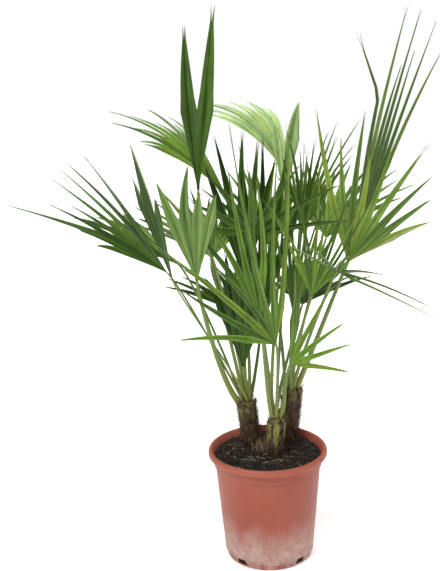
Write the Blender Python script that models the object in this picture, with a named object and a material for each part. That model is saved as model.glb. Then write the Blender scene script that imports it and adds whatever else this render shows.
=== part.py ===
"""Potted European fan palm: a clump of three short stems with fan leaves, in a round nursery pot.

Metres, +Z up. The origin is the centre of the pot's flat underside, and the photographed front is -Y.
Each leaf is two solids, a tapering stalk and a thin fan blade whose outline has its separate fingers.
"""

import math

import bpy
import numpy as np
from mathutils import Vector
from mathutils.bvhtree import BVHTree

# Pot, from its underside up to the rim
POT_H = 0.230
RIM_R = 0.120
RIM_INNER_R = 0.1117
LIP_H = 0.0125
BAND_H = 0.022
BAND_STEP = 0.0016
WALL_TOP_R = 0.1068
WALL_FOOT_R = 0.0903
WALL_T = 0.0024
FOOT_R = 0.0868
FOOT_H = 0.012
FLOOR_T = 0.0035
POT_SIDES = 48
DRAIN_W = 0.021
DRAIN_H = 0.012
DRAIN_ANGLES = (-138.0, -42.0, 42.0, 138.0)

# Soil
SOIL_Z = 0.2172
GAP = 0.00035

# Stems
STEM_SIDES = 14
STEMS = {
    "left": dict(foot=(-0.030, 0.046), crown=(-0.040, 0.040, 0.306), radius=0.0175),
    "middle": dict(foot=(0.014, -0.010), crown=(0.018, -0.012, 0.288), radius=0.0155),
    "right": dict(foot=(0.044, 0.058), crown=(0.056, 0.060, 0.322), radius=0.0190),
}
STEM_FLARE = 0.30
DOME_FLATTEN = 0.8

# Leaves
STALK_SIDES = 6
STALK_RINGS = 6
STALK_FLAT = 0.62
BLADE_T = 0.0022
TIP_T = 0.0010
CLEAR = 0.0005
LIFTS = (0.0, 0.035, -0.035, 0.07, -0.07, 0.11, -0.11, 0.15, -0.15, 0.20, -0.20, 0.26, -0.26)
CUTS = (1.0, 0.85, 0.7, 0.55)
SEAT_TURNS = (0.0, 18.0, -18.0, 34.0, -34.0, 50.0, -50.0, 70.0, -70.0)
SEAT_TILTS = (0.0, -11.0, 11.0, -22.0, 22.0)
BOWS = (0.42, 0.25, 0.65, 0.12)
TWISTS = (0.0, 5.0, -5.0, 10.0, -10.0, 16.0, -16.0, 24.0, -24.0, 34.0, -34.0)


def leaf(name, stem, hub, axis, side, spread, fingers, join=0.40, bend=(0.0, 0.0, -0.06), cup=0.15,
         stalk=(0.0085, 0.0048), kink=None, tone="mid"):
    """A fan leaf: hub place, direction of the middle finger, sideways direction, opening angle in degrees,
    finger lengths from one side to the other, and how far they are joined."""
    return dict(name=name, stem=stem, hub=hub, axis=axis, side=side, spread=spread, fingers=fingers,
                join=join, bend=bend, cup=cup, stalk=stalk, kink=kink, tone=tone)


LEAVES = [
    leaf("twin", "left", (-0.122, 0.03, 0.754), (0.005, -0.10, 1.0), (1.0, 0.1, 0.0), 23, (0.312, 0.36),
         join=0.43, bend=(0.03, 0.0, 0.0), cup=0.0, tone="dark"),
    leaf("left_low", "left", (-0.189, 0.0, 0.601), (-0.75, 0.11, 0.65), (0.11, 0.93, 0.34), 65,
         (0.16, 0.20, 0.27, 0.25, 0.30, 0.33, 0.34, 0.35), join=0.34, tone="dark"),
    leaf("left_broad", "left", (-0.176, -0.03, 0.592), (-0.19, -0.29, 0.94), (0.57, -0.82, -0.08), 27,
         (0.23, 0.32, 0.21), join=0.60, cup=0.0, tone="dark"),
    leaf("left_face", "left", (-0.129, -0.065, 0.599), (-0.04, -0.19, 0.98), (0.95, 0.16, -0.26), 40,
         (0.23, 0.25, 0.19, 0.19), join=0.52, stalk=(0.014, 0.006), tone="grey"),
    leaf("left_long", "left", (-0.17, 0.07, 0.60), (-0.83, 0.20, 0.54), (0.14, 0.87, 0.48), 42,
         (0.37, 0.25, 0.21, 0.17), join=0.30, bend=(0.0, 0.0, -0.12), tone="pale"),
    leaf("arch_left", "left", (-0.074, 0.12, 0.737), (-0.59, 0.19, 0.78), (0.58, 0.81, -0.06), 50,
         (0.21, 0.28, 0.31, 0.28, 0.25), join=0.5, bend=(-0.10, 0.0, -0.24), tone="pale"),
    leaf("low_dark", "left", (-0.045, 0.008, 0.400), (0.02, -0.02, 1.0), (1.0, 0.1, 0.0), 44,
         (0.22, 0.26, 0.28, 0.26, 0.22), join=0.5, tone="dark"),
    leaf("mid_dark", "left", (-0.035, 0.06, 0.56), (-0.02, 0.05, 1.0), (1.0, -0.2, 0.05), 38,
         (0.27, 0.32, 0.335, 0.31, 0.27), join=0.42, tone="dark"),
    leaf("front_left", "middle", (0.017, -0.06, 0.467), (-0.37, -0.48, 0.79), (0.40, 0.01, 0.92), 76,
         (0.26, 0.30, 0.41, 0.29, 0.52, 0.46, 0.48), join=0.15, bend=(0.0, 0.0, -0.05), tone="bright"),
    leaf("front_right", "middle", (0.045, -0.055, 0.425), (0.58, -0.44, 0.69), (0.20, -0.10, -0.97), 90,
         (0.21, 0.22, 0.18, 0.16, 0.14), join=0.17, tone="bright"),
    leaf("centre", "middle", (-0.022, -0.02, 0.673), (0.0, -0.5, 0.85), (1.0, 0.0, 0.0), 160,
         (0.14, 0.15, 0.19, 0.18, 0.21, 0.22, 0.2), join=0.22, tone="mid"),
    leaf("right_fan", "right", (0.162, 0.0, 0.611), (0.38, -0.06, 0.92), (0.95, -0.07, -0.26), 82,
         (0.32, 0.26, 0.32, 0.23, 0.25, 0.29, 0.24, 0.21, 0.18), join=0.30, stalk=(0.013, 0.006), tone="olive"),
    leaf("right_tall", "right", (0.176, 0.055, 0.612), (0.25, 0.05, 0.97), (0.54, 0.84, -0.02), 39,
         (0.41, 0.48, 0.39, 0.48, 0.42, 0.48, 0.46), join=0.40, bend=(0.03, 0.0, 0.0), kink=(0, (-0.055, 0.0, 0.03)), tone="mid"),
    leaf("right_low", "right", (0.137, -0.035, 0.600), (0.15, -0.85, 0.35), (0.85, 0.05, -0.50), 140,
         (0.16, 0.17, 0.18, 0.19, 0.22, 0.22), join=0.14, tone="mid"),
    leaf("arch_back", "middle", (0.054, 0.16, 0.757), (-0.21, 0.15, 0.97), (0.73, 0.68, 0.11), 44,
         (0.28, 0.28, 0.24, 0.24, 0.22), join=0.55, bend=(-0.27, 0.0, -0.39), tone="pale"),
    leaf("back_point", "middle", (0.050, 0.13, 0.71), (0.02, 0.05, 1.0), (1.0, 0.3, 0.0), 26,
         (0.17, 0.22), join=0.6, tone="grey"),
    leaf("right_mid", "right", (0.080, 0.085, 0.65), (0.16, -0.09, 0.98), (0.85, 0.26, 0.40), 50,
         (0.19, 0.23, 0.20, 0.25, 0.27, 0.22), join=0.38, tone="mid"),
    leaf("right_inner", "right", (0.090, -0.020, 0.55), (0.2, -0.15, 0.92), (0.95, 0.1, -0.15), 76,
         (0.26, 0.28, 0.29, 0.29, 0.26, 0.22), join=0.22, tone="bright"),
    leaf("young", "right", (0.048, 0.020, 0.392), (0.10, -0.10, 1.0), (1.0, 0.2, 0.0), 12,
         (0.20,), join=0.5, bend=(0.0, 0.0, 0.0), cup=0.0, tone="grey"),
    leaf("back_left", "left", (-0.10, 0.20, 0.58), (-0.25, 0.85, 0.50), (0.95, 0.3, 0.0), 100,
         (0.23, 0.25, 0.27, 0.28, 0.27, 0.25, 0.22), join=0.38, tone="mid"),
    leaf("back_mid", "middle", (0.02, 0.22, 0.60), (0.0, 0.70, 0.70), (1.0, 0.1, 0.1), 90,
         (0.22, 0.25, 0.27, 0.27, 0.25, 0.22), join=0.38, tone="mid"),
    leaf("back_right", "right", (0.14, 0.18, 0.62), (0.35, 0.75, 0.55), (0.9, -0.45, 0.0), 96,
         (0.22, 0.25, 0.27, 0.28, 0.27, 0.25), join=0.38, tone="mid"),
    leaf("back_low_right", "middle", (0.09, 0.20, 0.47), (0.25, 0.9, 0.30), (0.95, -0.3, 0.0), 100,
         (0.2, 0.22, 0.24, 0.23, 0.2), join=0.38, tone="dark"),
    leaf("back_low_left", "left", (-0.06, 0.20, 0.46), (-0.2, 0.9, 0.30), (0.95, 0.3, 0.0), 100,
         (0.2, 0.22, 0.24, 0.23, 0.2), join=0.38, tone="dark"),
    leaf("inner_left", "middle", (-0.012, -0.050, 0.520), (-0.22, -0.12, 0.95), (0.90, -0.30, 0.20), 46,
         (0.27, 0.31, 0.33, 0.34, 0.30), join=0.26, tone="bright"),
    leaf("inner_right", "right", (0.058, 0.035, 0.500), (0.12, 0.03, 0.99), (0.90, 0.30, 0.05), 44,
         (0.28, 0.33, 0.36, 0.32, 0.27), join=0.26, tone="mid"),
    leaf("inner_back", "left", (0.000, 0.085, 0.500), (0.02, 0.03, 1.0), (0.95, -0.25, 0.0), 48,
         (0.30, 0.36, 0.38, 0.37, 0.31), join=0.30, tone="dark"),
]

TONES = {
    "dark": (0.035, 0.100, 0.012),
    "mid": (0.085, 0.200, 0.035),
    "bright": (0.120, 0.270, 0.040),
    "olive": (0.140, 0.200, 0.050),
    "pale": (0.350, 0.500, 0.220),
    "grey": (0.220, 0.350, 0.180),
}


def unit(v):
    v = np.asarray(v, dtype=float)
    return v / np.linalg.norm(v)


def material(name, colour, roughness):
    mat = bpy.data.materials.new(name)
    mat.use_nodes = True
    bsdf = mat.node_tree.nodes["Principled BSDF"]
    bsdf.inputs["Base Color"].default_value = (*colour, 1.0)
    bsdf.inputs["Roughness"].default_value = roughness
    return mat


def add_object(name, verts, faces, mat, origin=(0.0, 0.0, 0.0), smooth=False):
    """Links a mesh whose points are given in the shared frame, with its own origin."""
    mesh = bpy.data.meshes.new(name)
    shift = np.asarray(origin, dtype=float)
    mesh.from_pydata([tuple(np.asarray(v) - shift) for v in verts], [], [tuple(f) for f in faces])
    mesh.validate()
    mesh.materials.append(mat)
    if smooth:
        mesh.polygons.foreach_set("use_smooth", [True] * len(mesh.polygons))
    obj = bpy.data.objects.new(name, mesh)
    obj.location = tuple(shift)
    bpy.context.scene.collection.objects.link(obj)
    return obj


def revolve(profile, sides):
    """A closed solid from an (r, z) outline that begins and ends on the axis."""
    verts = [(0.0, 0.0, profile[0][1])]
    ring_count = len(profile) - 2
    for r, z in profile[1:-1]:
        for k in range(sides):
            a = 2 * math.pi * k / sides
            verts.append((r * math.cos(a), r * math.sin(a), z))
    verts.append((0.0, 0.0, profile[-1][1]))
    last = len(verts) - 1
    faces = []
    for k in range(sides):
        n = (k + 1) % sides
        faces.append((0, 1 + n, 1 + k))
        for i in range(ring_count - 1):
            lo = 1 + i * sides
            hi = lo + sides
            faces.append((lo + k, lo + n, hi + n, hi + k))
        top = 1 + (ring_count - 1) * sides
        faces.append((last, top + k, top + n))
    return verts, faces


def inner_wall():
    """The pot's inner outline from the floor's edge up to the rim, as (r, z)."""
    return [
        (FOOT_R - WALL_T - 0.0004, FLOOR_T),
        (FOOT_R - WALL_T, FOOT_H),
        (WALL_FOOT_R - WALL_T, FOOT_H + 0.004),
        (WALL_TOP_R - WALL_T, POT_H - LIP_H - BAND_H),
        (WALL_TOP_R + BAND_STEP - WALL_T, POT_H - LIP_H - 0.002),
        (RIM_INNER_R - 0.0006, POT_H - 0.003),
    ]


def pot_profile():
    lip_z = POT_H - LIP_H
    band_z = lip_z - BAND_H
    outer = [
        (0.0, 0.0),
        (FOOT_R - 0.003, 0.0),
        (FOOT_R, 0.003),
        (FOOT_R, FOOT_H - 0.001),
        (WALL_FOOT_R, FOOT_H + 0.001),
        (WALL_TOP_R - 0.0008, band_z - 0.001),
        (WALL_TOP_R + BAND_STEP, band_z + 0.001),
        (WALL_TOP_R + BAND_STEP + 0.0015, lip_z - 0.001),
        (RIM_R - 0.0012, lip_z),
        (RIM_R, lip_z + 0.002),
        (RIM_R, POT_H - 0.0045),
        (RIM_R - 0.0015, POT_H - 0.0015),
        (RIM_R - 0.0035, POT_H),
        (RIM_INNER_R + 0.0015, POT_H),
    ]
    return outer + inner_wall()[::-1] + [(0.0, FLOOR_T)]


def build_pot():
    verts, faces = revolve(pot_profile(), POT_SIDES)
    mat = material("pot_plastic", (0.390, 0.110, 0.065), 0.55)
    pot = add_object("pot", verts, faces, mat, smooth=True)
    for k, angle in enumerate(DRAIN_ANGLES):
        a = math.radians(angle)
        centre = np.array([math.sin(a), -math.cos(a)]) * FOOT_R
        mesh = bpy.data.meshes.new(f"drain_cut_{k}")
        half = np.array([DRAIN_W / 2, 0.008, DRAIN_H / 2])
        corners = [half * (x, y, z) for x in (-1, 1) for y in (-1, 1) for z in (-1, 1)]
        quads = [(0, 1, 3, 2), (4, 6, 7, 5), (0, 4, 5, 1), (2, 3, 7, 6), (0, 2, 6, 4), (1, 5, 7, 3)]
        mesh.from_pydata([tuple(c) for c in corners], [], quads)
        cutter = bpy.data.objects.new(f"drain_cut_{k}", mesh)
        cutter.location = (centre[0], centre[1], FLOOR_T + 0.0015 + DRAIN_H / 2)
        cutter.rotation_euler = (0.0, 0.0, a)
        cutter.display_type = "WIRE"
        cutter.hide_render = True
        bpy.context.scene.collection.objects.link(cutter)
        cutter.parent = pot
        cut = pot.modifiers.new(f"drain_{k}", "BOOLEAN")
        cut.operation = "DIFFERENCE"
        cut.solver = "EXACT"
        cut.object = cutter
    return pot


def build_soil():
    wall = inner_wall()
    (r_low, z_low), (r_high, z_high) = wall[-2], wall[-1]
    edge_r = r_low + (r_high - r_low) * (SOIL_Z - z_low) / (z_high - z_low)
    inset = GAP * 1.6
    profile = [(0.0, FLOOR_T + GAP), (wall[0][0] - inset, FLOOR_T + GAP)]
    profile += [(r - inset, z + GAP) for r, z in wall[1:-1]]
    profile += [(edge_r - inset, SOIL_Z), (0.0, SOIL_Z)]
    verts, faces = revolve(profile, POT_SIDES)
    return add_object("soil", verts, faces, material("soil", (0.018, 0.013, 0.010), 0.95))


def stem_mesh(spec):
    """A short fibrous stem: flared foot cut flat on the soil, ringed with old leaf bases, with a domed crown."""
    foot = np.array([*spec["foot"], SOIL_Z + GAP])
    crown = np.array(spec["crown"])
    r0 = spec["radius"]
    rings = []
    for t in (0.0, 0.10, 0.25, 0.42, 0.58, 0.75, 0.90):
        swell = 1 + STEM_FLARE * math.exp(-t / 0.10) - 0.10 * math.sin(math.pi * t)
        rings.append((foot + t * (crown - foot), r0 * swell, 0.06, t))
    for lift in (0.0, 24.0, 46.0, 68.0):
        a = math.radians(lift)
        rings.append((crown + np.array([0, 0, r0 * DOME_FLATTEN * math.sin(a)]), r0 * math.cos(a), 0.0, 1.0))
    verts = [tuple(foot)]
    for centre, radius, knob, t in rings:
        for k in range(STEM_SIDES):
            a = 2 * math.pi * k / STEM_SIDES
            r = radius * (1 + knob * math.sin(3 * a + 9 * t))
            verts.append((centre[0] + r * math.cos(a), centre[1] + r * math.sin(a), centre[2]))
    verts.append((crown[0], crown[1], crown[2] + r0 * DOME_FLATTEN))
    last = len(verts) - 1
    faces = []
    for k in range(STEM_SIDES):
        n = (k + 1) % STEM_SIDES
        faces.append((0, 1 + n, 1 + k))
        for i in range(len(rings) - 1):
            lo = 1 + i * STEM_SIDES
            hi = lo + STEM_SIDES
            faces.append((lo + k, lo + n, hi + n, hi + k))
        top = 1 + (len(rings) - 1) * STEM_SIDES
        faces.append((last, top + k, top + n))
    return verts, faces


def tree_of(verts, faces):
    return BVHTree.FromPolygons([Vector(tuple(v)) for v in verts], [tuple(f) for f in faces])


def fan_axes(spec, twist=0.0):
    """The middle finger's direction, the sideways direction and the upper face's normal."""
    a = unit(spec["axis"])
    b = np.asarray(spec["side"], dtype=float)
    b = unit(b - (b @ a) * a)
    n = np.cross(b, a)
    c, s = math.cos(math.radians(twist)), math.sin(math.radians(twist))
    b = c * b + s * n
    return a, b, np.cross(b, a)


def blade_point(spec, axes, r, angle):
    """A point of the blade's middle surface, r from the hub in the direction of an angle from the middle."""
    a, b, n = axes
    d = unit(math.cos(angle) * a + math.sin(angle) * b + spec["cup"] * (1 - math.cos(angle)) * n)
    reach = max(spec["fingers"])
    return np.array(spec["hub"]) + r * d + np.array(spec["bend"]) * reach * (r / reach) ** 2


def seat_of(spec, tree, turn, tilt):
    """Where a stalk leaves its stem's crown, and in what direction."""
    crown = np.array(STEMS[spec["stem"]]["crown"])
    lean = np.array(spec["hub"]) - crown
    azimuth = math.atan2(lean[1], lean[0]) + math.radians(turn)
    polar = math.atan2(math.hypot(lean[0], lean[1]), lean[2]) * 1.2 + math.radians(8 + tilt)
    polar = min(max(polar, math.radians(6)), math.radians(64))
    out = (math.cos(azimuth) * math.sin(polar), math.sin(azimuth) * math.sin(polar), math.cos(polar))
    hit, normal, _, _ = tree.ray_cast(Vector(tuple(crown)), Vector(out))
    start = np.array(hit) + np.array(normal) * GAP
    return start, np.array(normal)


def stalk_path(spec, axes, start, direction, count):
    hub = np.array(spec["hub"])
    a = axes[0]
    run = np.linalg.norm(hub - start)
    out = []
    for t in np.linspace(0.0, 1.0, count):
        p = (2 * t**3 - 3 * t**2 + 1) * start + (t**3 - 2 * t**2 + t) * direction * run
        p = p + (3 * t**2 - 2 * t**3) * hub + (t**3 - t**2) * a * run * 0.35
        out.append(p)
    return np.array(out)


def stalk_mesh(spec, axes, start, direction, grow=0.0):
    path = stalk_path(spec, axes, start, direction, STALK_RINGS)
    path[0] = path[0] + unit(direction) * grow * 0.1
    w0, w1 = spec["stalk"]
    verts = []
    for i, p in enumerate(path):
        t = i / (STALK_RINGS - 1)
        if i == 0:
            along = unit(direction)
        elif i == STALK_RINGS - 1:
            along = axes[0]
        else:
            along = unit(path[i + 1] - path[i - 1])
        wide = axes[1] - (axes[1] @ along) * along
        wide = unit(wide)
        thick = np.cross(along, wide)
        half = (w0 + (w1 - w0) * t + grow) / 2
        for k in range(STALK_SIDES):
            a = 2 * math.pi * k / STALK_SIDES
            verts.append(p + half * math.cos(a) * wide + half * STALK_FLAT * math.sin(a) * thick)
    faces = [tuple(range(STALK_SIDES))[::-1]]
    for i in range(STALK_RINGS - 1):
        lo = i * STALK_SIDES
        hi = lo + STALK_SIDES
        for k in range(STALK_SIDES):
            n = (k + 1) % STALK_SIDES
            faces.append((lo + k, lo + n, hi + n, hi + k))
    top = (STALK_RINGS - 1) * STALK_SIDES
    faces.append(tuple(top + k for k in range(STALK_SIDES)))
    return verts, faces


def joined_radius(spec, length):
    return min(spec["join"] * max(spec["fingers"]), 0.72 * length)


def finger_rows(spec, axes, index, lift, cut):
    """Left and right edge points of one finger's free part, from where it leaves its neighbours to the tip."""
    count = len(spec["fingers"])
    step = math.radians(spec["spread"]) / count
    middle = -math.radians(spec["spread"]) / 2 + (index + 0.5) * step
    length = spec["fingers"][index]
    start = joined_radius(spec, length)
    end = start + (length - start) * cut
    rows = []
    for q in (0.0, 0.34, 0.68, 1.0):
        r = start + (end - start) * q
        half = step / 2 * start * (1 - q**1.5) / r
        rise = axes[2] * lift * length * q**2
        if spec["kink"] and spec["kink"][0] == index and q > 0.6:
            rise = rise + np.array(spec["kink"][1]) * (q - 0.6) / 0.4
        if q == 1.0:
            rows.append([blade_point(spec, axes, r, middle) + rise])
        else:
            rows.append([blade_point(spec, axes, r, middle - half) + rise,
                         blade_point(spec, axes, r, middle + half) + rise])
    return rows


def slab(points, faces, normal, thicknesses):
    """Turns an open sheet into a closed thin solid along one normal."""
    count = len(points)
    up = [np.asarray(p) + normal * t / 2 for p, t in zip(points, thicknesses)]
    down = [np.asarray(p) - normal * t / 2 for p, t in zip(points, thicknesses)]
    out = [tuple(f) for f in faces] + [tuple(i + count for i in f[::-1]) for f in faces]
    edges = {}
    for f in faces:
        for i, j in zip(f, f[1:] + f[:1]):
            edges[(i, j)] = True
    for i, j in edges:
        if (j, i) not in edges:
            out.append((j, i, i + count, j + count))
    return up + down, out


def free_finger_mesh(spec, axes, index, lift, cut, skip, grow):
    rows = finger_rows(spec, axes, index, lift, cut)
    if skip:
        first = [rows[0][k] + 0.35 * (rows[1][k] - rows[0][k]) for k in (0, 1)]
        rows = [first] + rows[1:]
    points = [p for row in rows for p in row]
    faces = [[0, 1, 3, 2], [2, 3, 5, 4], [4, 5, 6]]
    return slab(points, faces, axes[2], [BLADE_T + grow] * len(points))


def fan_mesh(spec, axes, choices, grow=0.0, joined_only=False):
    """The whole blade as one closed slab: joined part from a narrow neck at the hub, then the free fingers."""
    count = len(spec["fingers"])
    step = math.radians(spec["spread"]) / count
    hub = np.array(spec["hub"])
    a, b, n = axes
    neck = spec["stalk"][1]
    points = []
    faces = []
    thick = []

    def add(p, t):
        points.append(np.asarray(p))
        thick.append(t + grow)
        return len(points) - 1

    lowest = [joined_radius(spec, x) for x in spec["fingers"]]
    edge = [min(lowest[max(j - 1, 0)], lowest[min(j, count - 1)]) for j in range(count + 1)]
    rails = []
    for j in range(count + 1):
        angle = -math.radians(spec["spread"]) / 2 + j * step
        base = hub + a * GAP + b * neck * (j / count - 0.5)
        mid = blade_point(spec, axes, edge[j] * 0.5, angle)
        rails.append([add(base, BLADE_T), add(mid, BLADE_T), add(blade_point(spec, axes, edge[j], angle), BLADE_T)])
    for i in range(count):
        left, right = rails[i], rails[i + 1]
        for k in (0, 1):
            faces.append([left[k], right[k], right[k + 1], left[k + 1]])
        if joined_only:
            continue
        lift, cut = choices[i]
        rows = finger_rows(spec, axes, i, lift, cut)
        base = [left[2], right[2]]
        own = joined_radius(spec, spec["fingers"][i])
        if own - edge[i] > 0.004 or own - edge[i + 1] > 0.004:
            nxt = [add(rows[0][0], BLADE_T), add(rows[0][1], BLADE_T)]
            if own - edge[i] <= 0.004:
                nxt[0] = left[2]
                points.pop(-2)
                thick.pop(-2)
                nxt[1] -= 1
            elif own - edge[i + 1] <= 0.004:
                nxt[1] = right[2]
                points.pop()
                thick.pop()
            if nxt[0] != base[0] and nxt[1] != base[1]:
                faces.append([base[0], base[1], nxt[1], nxt[0]])
            elif nxt[0] != base[0]:
                faces.append([base[0], base[1], nxt[0]])
            else:
                faces.append([base[0], base[1], nxt[1]])
            base = nxt
        for row in rows[1:]:
            if len(row) == 2:
                nxt = [add(row[0], BLADE_T), add(row[1], BLADE_T)]
                faces.append([base[0], base[1], nxt[1], nxt[0]])
                base = nxt
            else:
                faces.append([base[0], base[1], add(row[0], TIP_T)])
    return slab(points, faces, n, thick)


def clear_of(verts, faces, placed):
    tree = tree_of(verts, faces)
    return not any(tree.overlap(other) for other in placed)


def arrange(leaves, stem_trees):
    """Lays the leaves one after another, lifting or shortening a finger that would run into what is there."""
    placed = list(stem_trees.values())
    stalks = {}
    notes = []
    for spec in leaves:
        for bow, tilt, turn in [(w, x, y) for w in BOWS for x in SEAT_TILTS for y in SEAT_TURNS]:
            start, direction = seat_of(spec, stem_trees[spec["stem"]], turn, tilt)
            direction = direction * bow
            if clear_of(*stalk_mesh(spec, fan_axes(spec), start, direction, 2 * CLEAR), placed):
                break
        else:
            notes.append(f"{spec['name']}: stalk touches")
        stalks[spec["name"]] = (start, direction)
        placed.append(tree_of(*stalk_mesh(spec, fan_axes(spec), start, direction)))
    own_place = {spec["name"]: len(stem_trees) + k for k, spec in enumerate(leaves)}
    laid = []
    for spec in leaves:
        others = [t for k, t in enumerate(placed) if k != own_place[spec["name"]]]
        for twist in TWISTS:
            axes = fan_axes(spec, twist)
            if clear_of(*fan_mesh(spec, axes, None, grow=2 * CLEAR, joined_only=True), others):
                break
        else:
            notes.append(f"{spec['name']}: joined part touches")
            axes = fan_axes(spec)
        choices = []
        siblings = []
        for i in range(len(spec["fingers"])):
            found = None
            for cut in CUTS:
                for lift in LIFTS:
                    whole = free_finger_mesh(spec, axes, i, lift, cut, False, 2 * CLEAR)
                    part = free_finger_mesh(spec, axes, i, lift, cut, True, 2 * CLEAR)
                    if clear_of(*whole, others) and clear_of(*part, siblings):
                        found = (lift, cut)
                        break
                if found:
                    break
            if not found:
                notes.append(f"{spec['name']}: finger {i} touches")
                found = (0.0, CUTS[-1])
            elif found[1] < 1.0:
                notes.append(f"{spec['name']}: finger {i} cut to {found[1]}")
            choices.append(found)
            siblings.append(tree_of(*free_finger_mesh(spec, axes, i, *found, True, 0.0)))
        placed.append(tree_of(*fan_mesh(spec, axes, choices)))
        laid.append((spec, axes, choices, *stalks[spec["name"]]))
    return laid, notes


def build():
    for obj in list(bpy.data.objects):
        bpy.data.objects.remove(obj, do_unlink=True)
    build_pot()
    build_soil()
    bark = material("stem_fibre", (0.080, 0.040, 0.022), 0.95)
    stem_trees = {}
    for name, spec in STEMS.items():
        verts, faces = stem_mesh(spec)
        foot = (*spec["foot"], SOIL_Z + GAP)
        add_object(f"stem_{name}", verts, faces, bark, origin=foot)
        stem_trees[name] = tree_of(verts, faces)
    stalk_mat = material("stalk", (0.190, 0.260, 0.045), 0.5)
    leaf_mats = {tone: material(f"leaf_{tone}", colour, 0.5) for tone, colour in TONES.items()}
    laid, notes = arrange(LEAVES, stem_trees)
    for spec, axes, choices, start, direction in laid:
        verts, faces = stalk_mesh(spec, fan_axes(spec), start, direction)
        add_object(f"stalk_{spec['name']}", verts, faces, stalk_mat, origin=start)
        verts, faces = fan_mesh(spec, axes, choices)
        add_object(f"fan_{spec['name']}", verts, faces, leaf_mats[spec["tone"]], origin=spec["hub"])
    for note in notes:
        print(note)


build()
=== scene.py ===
"""Potted European fan palm: folded fan leaves, fibrous stems, soil and pot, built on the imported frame."""

import math

import bpy
import numpy as np
from mathutils import Matrix, Vector
from mathutils.bvhtree import BVHTree


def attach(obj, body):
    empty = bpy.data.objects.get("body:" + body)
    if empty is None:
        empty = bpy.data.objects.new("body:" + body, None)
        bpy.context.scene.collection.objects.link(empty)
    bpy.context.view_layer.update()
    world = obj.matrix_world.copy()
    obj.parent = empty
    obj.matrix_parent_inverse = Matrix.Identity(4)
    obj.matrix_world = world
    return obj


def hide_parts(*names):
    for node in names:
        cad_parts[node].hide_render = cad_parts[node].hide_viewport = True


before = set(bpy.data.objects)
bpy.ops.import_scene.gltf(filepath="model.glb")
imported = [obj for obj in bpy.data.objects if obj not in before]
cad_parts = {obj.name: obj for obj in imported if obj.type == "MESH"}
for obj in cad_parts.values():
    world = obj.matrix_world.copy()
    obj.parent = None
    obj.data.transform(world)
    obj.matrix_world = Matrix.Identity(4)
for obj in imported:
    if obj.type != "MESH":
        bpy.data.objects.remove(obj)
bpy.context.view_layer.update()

bl_info = {
    "name": "Potted Fan Palm",
    "version": (1, 0, 0),
    "blender": (4, 5, 0),
    "location": "3D View > Sidebar > Fan Palm",
    "description": "Builds a potted European fan palm from named sizes and colours",
    "category": "Add Mesh",
}

# Pot, from its underside up to the rim
POT_H = 0.230
RIM_R = 0.120
RIM_INNER_R = 0.1117
LIP_H = 0.0125
BAND_H = 0.022
BAND_STEP = 0.0016
WALL_TOP_R = 0.1068
WALL_FOOT_R = 0.0903
WALL_T = 0.0024
FOOT_R = 0.0868
FOOT_H = 0.012
FLOOR_T = 0.0035
DRAIN_W = 0.021
DRAIN_H = 0.012
DRAIN_ANGLES = (-138.0, -42.0, 42.0, 138.0)

# Soil
SOIL_Z = 0.2172
GAP = 0.00035

# Stems
STEM_SIDES = 14
STEMS = {
    "left": dict(foot=(-0.030, 0.046), crown=(-0.040, 0.040, 0.306), radius=0.0175),
    "middle": dict(foot=(0.014, -0.010), crown=(0.018, -0.012, 0.288), radius=0.0155),
    "right": dict(foot=(0.044, 0.058), crown=(0.056, 0.060, 0.322), radius=0.0190),
}
STEM_FLARE = 0.30
DOME_FLATTEN = 0.8

# Leaves
STALK_SIDES = 6
STALK_RINGS = 6
STALK_FLAT = 0.62
BLADE_T = 0.0022
TIP_T = 0.0010
CLEAR = 0.0005
LIFTS = (0.0, 0.035, -0.035, 0.07, -0.07, 0.11, -0.11, 0.15, -0.15, 0.20, -0.20, 0.26, -0.26)
CUTS = (1.0, 0.85, 0.7, 0.55)
SEAT_TURNS = (0.0, 18.0, -18.0, 34.0, -34.0, 50.0, -50.0, 70.0, -70.0)
SEAT_TILTS = (0.0, -11.0, 11.0, -22.0, 22.0)
BOWS = (0.42, 0.25, 0.65, 0.12)
TWISTS = (0.0, 5.0, -5.0, 10.0, -10.0, 16.0, -16.0, 24.0, -24.0, 34.0, -34.0)


def leaf(name, stem, hub, axis, side, spread, fingers, join=0.40, bend=(0.0, 0.0, -0.06), cup=0.15,
         stalk=(0.0085, 0.0048), kink=None, tone="mid"):
    """A fan leaf: hub place, direction of the middle finger, sideways direction, opening angle in degrees,
    finger lengths from one side to the other, and how far they are joined."""
    return dict(name=name, stem=stem, hub=hub, axis=axis, side=side, spread=spread, fingers=fingers,
                join=join, bend=bend, cup=cup, stalk=stalk, kink=kink, tone=tone)


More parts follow.
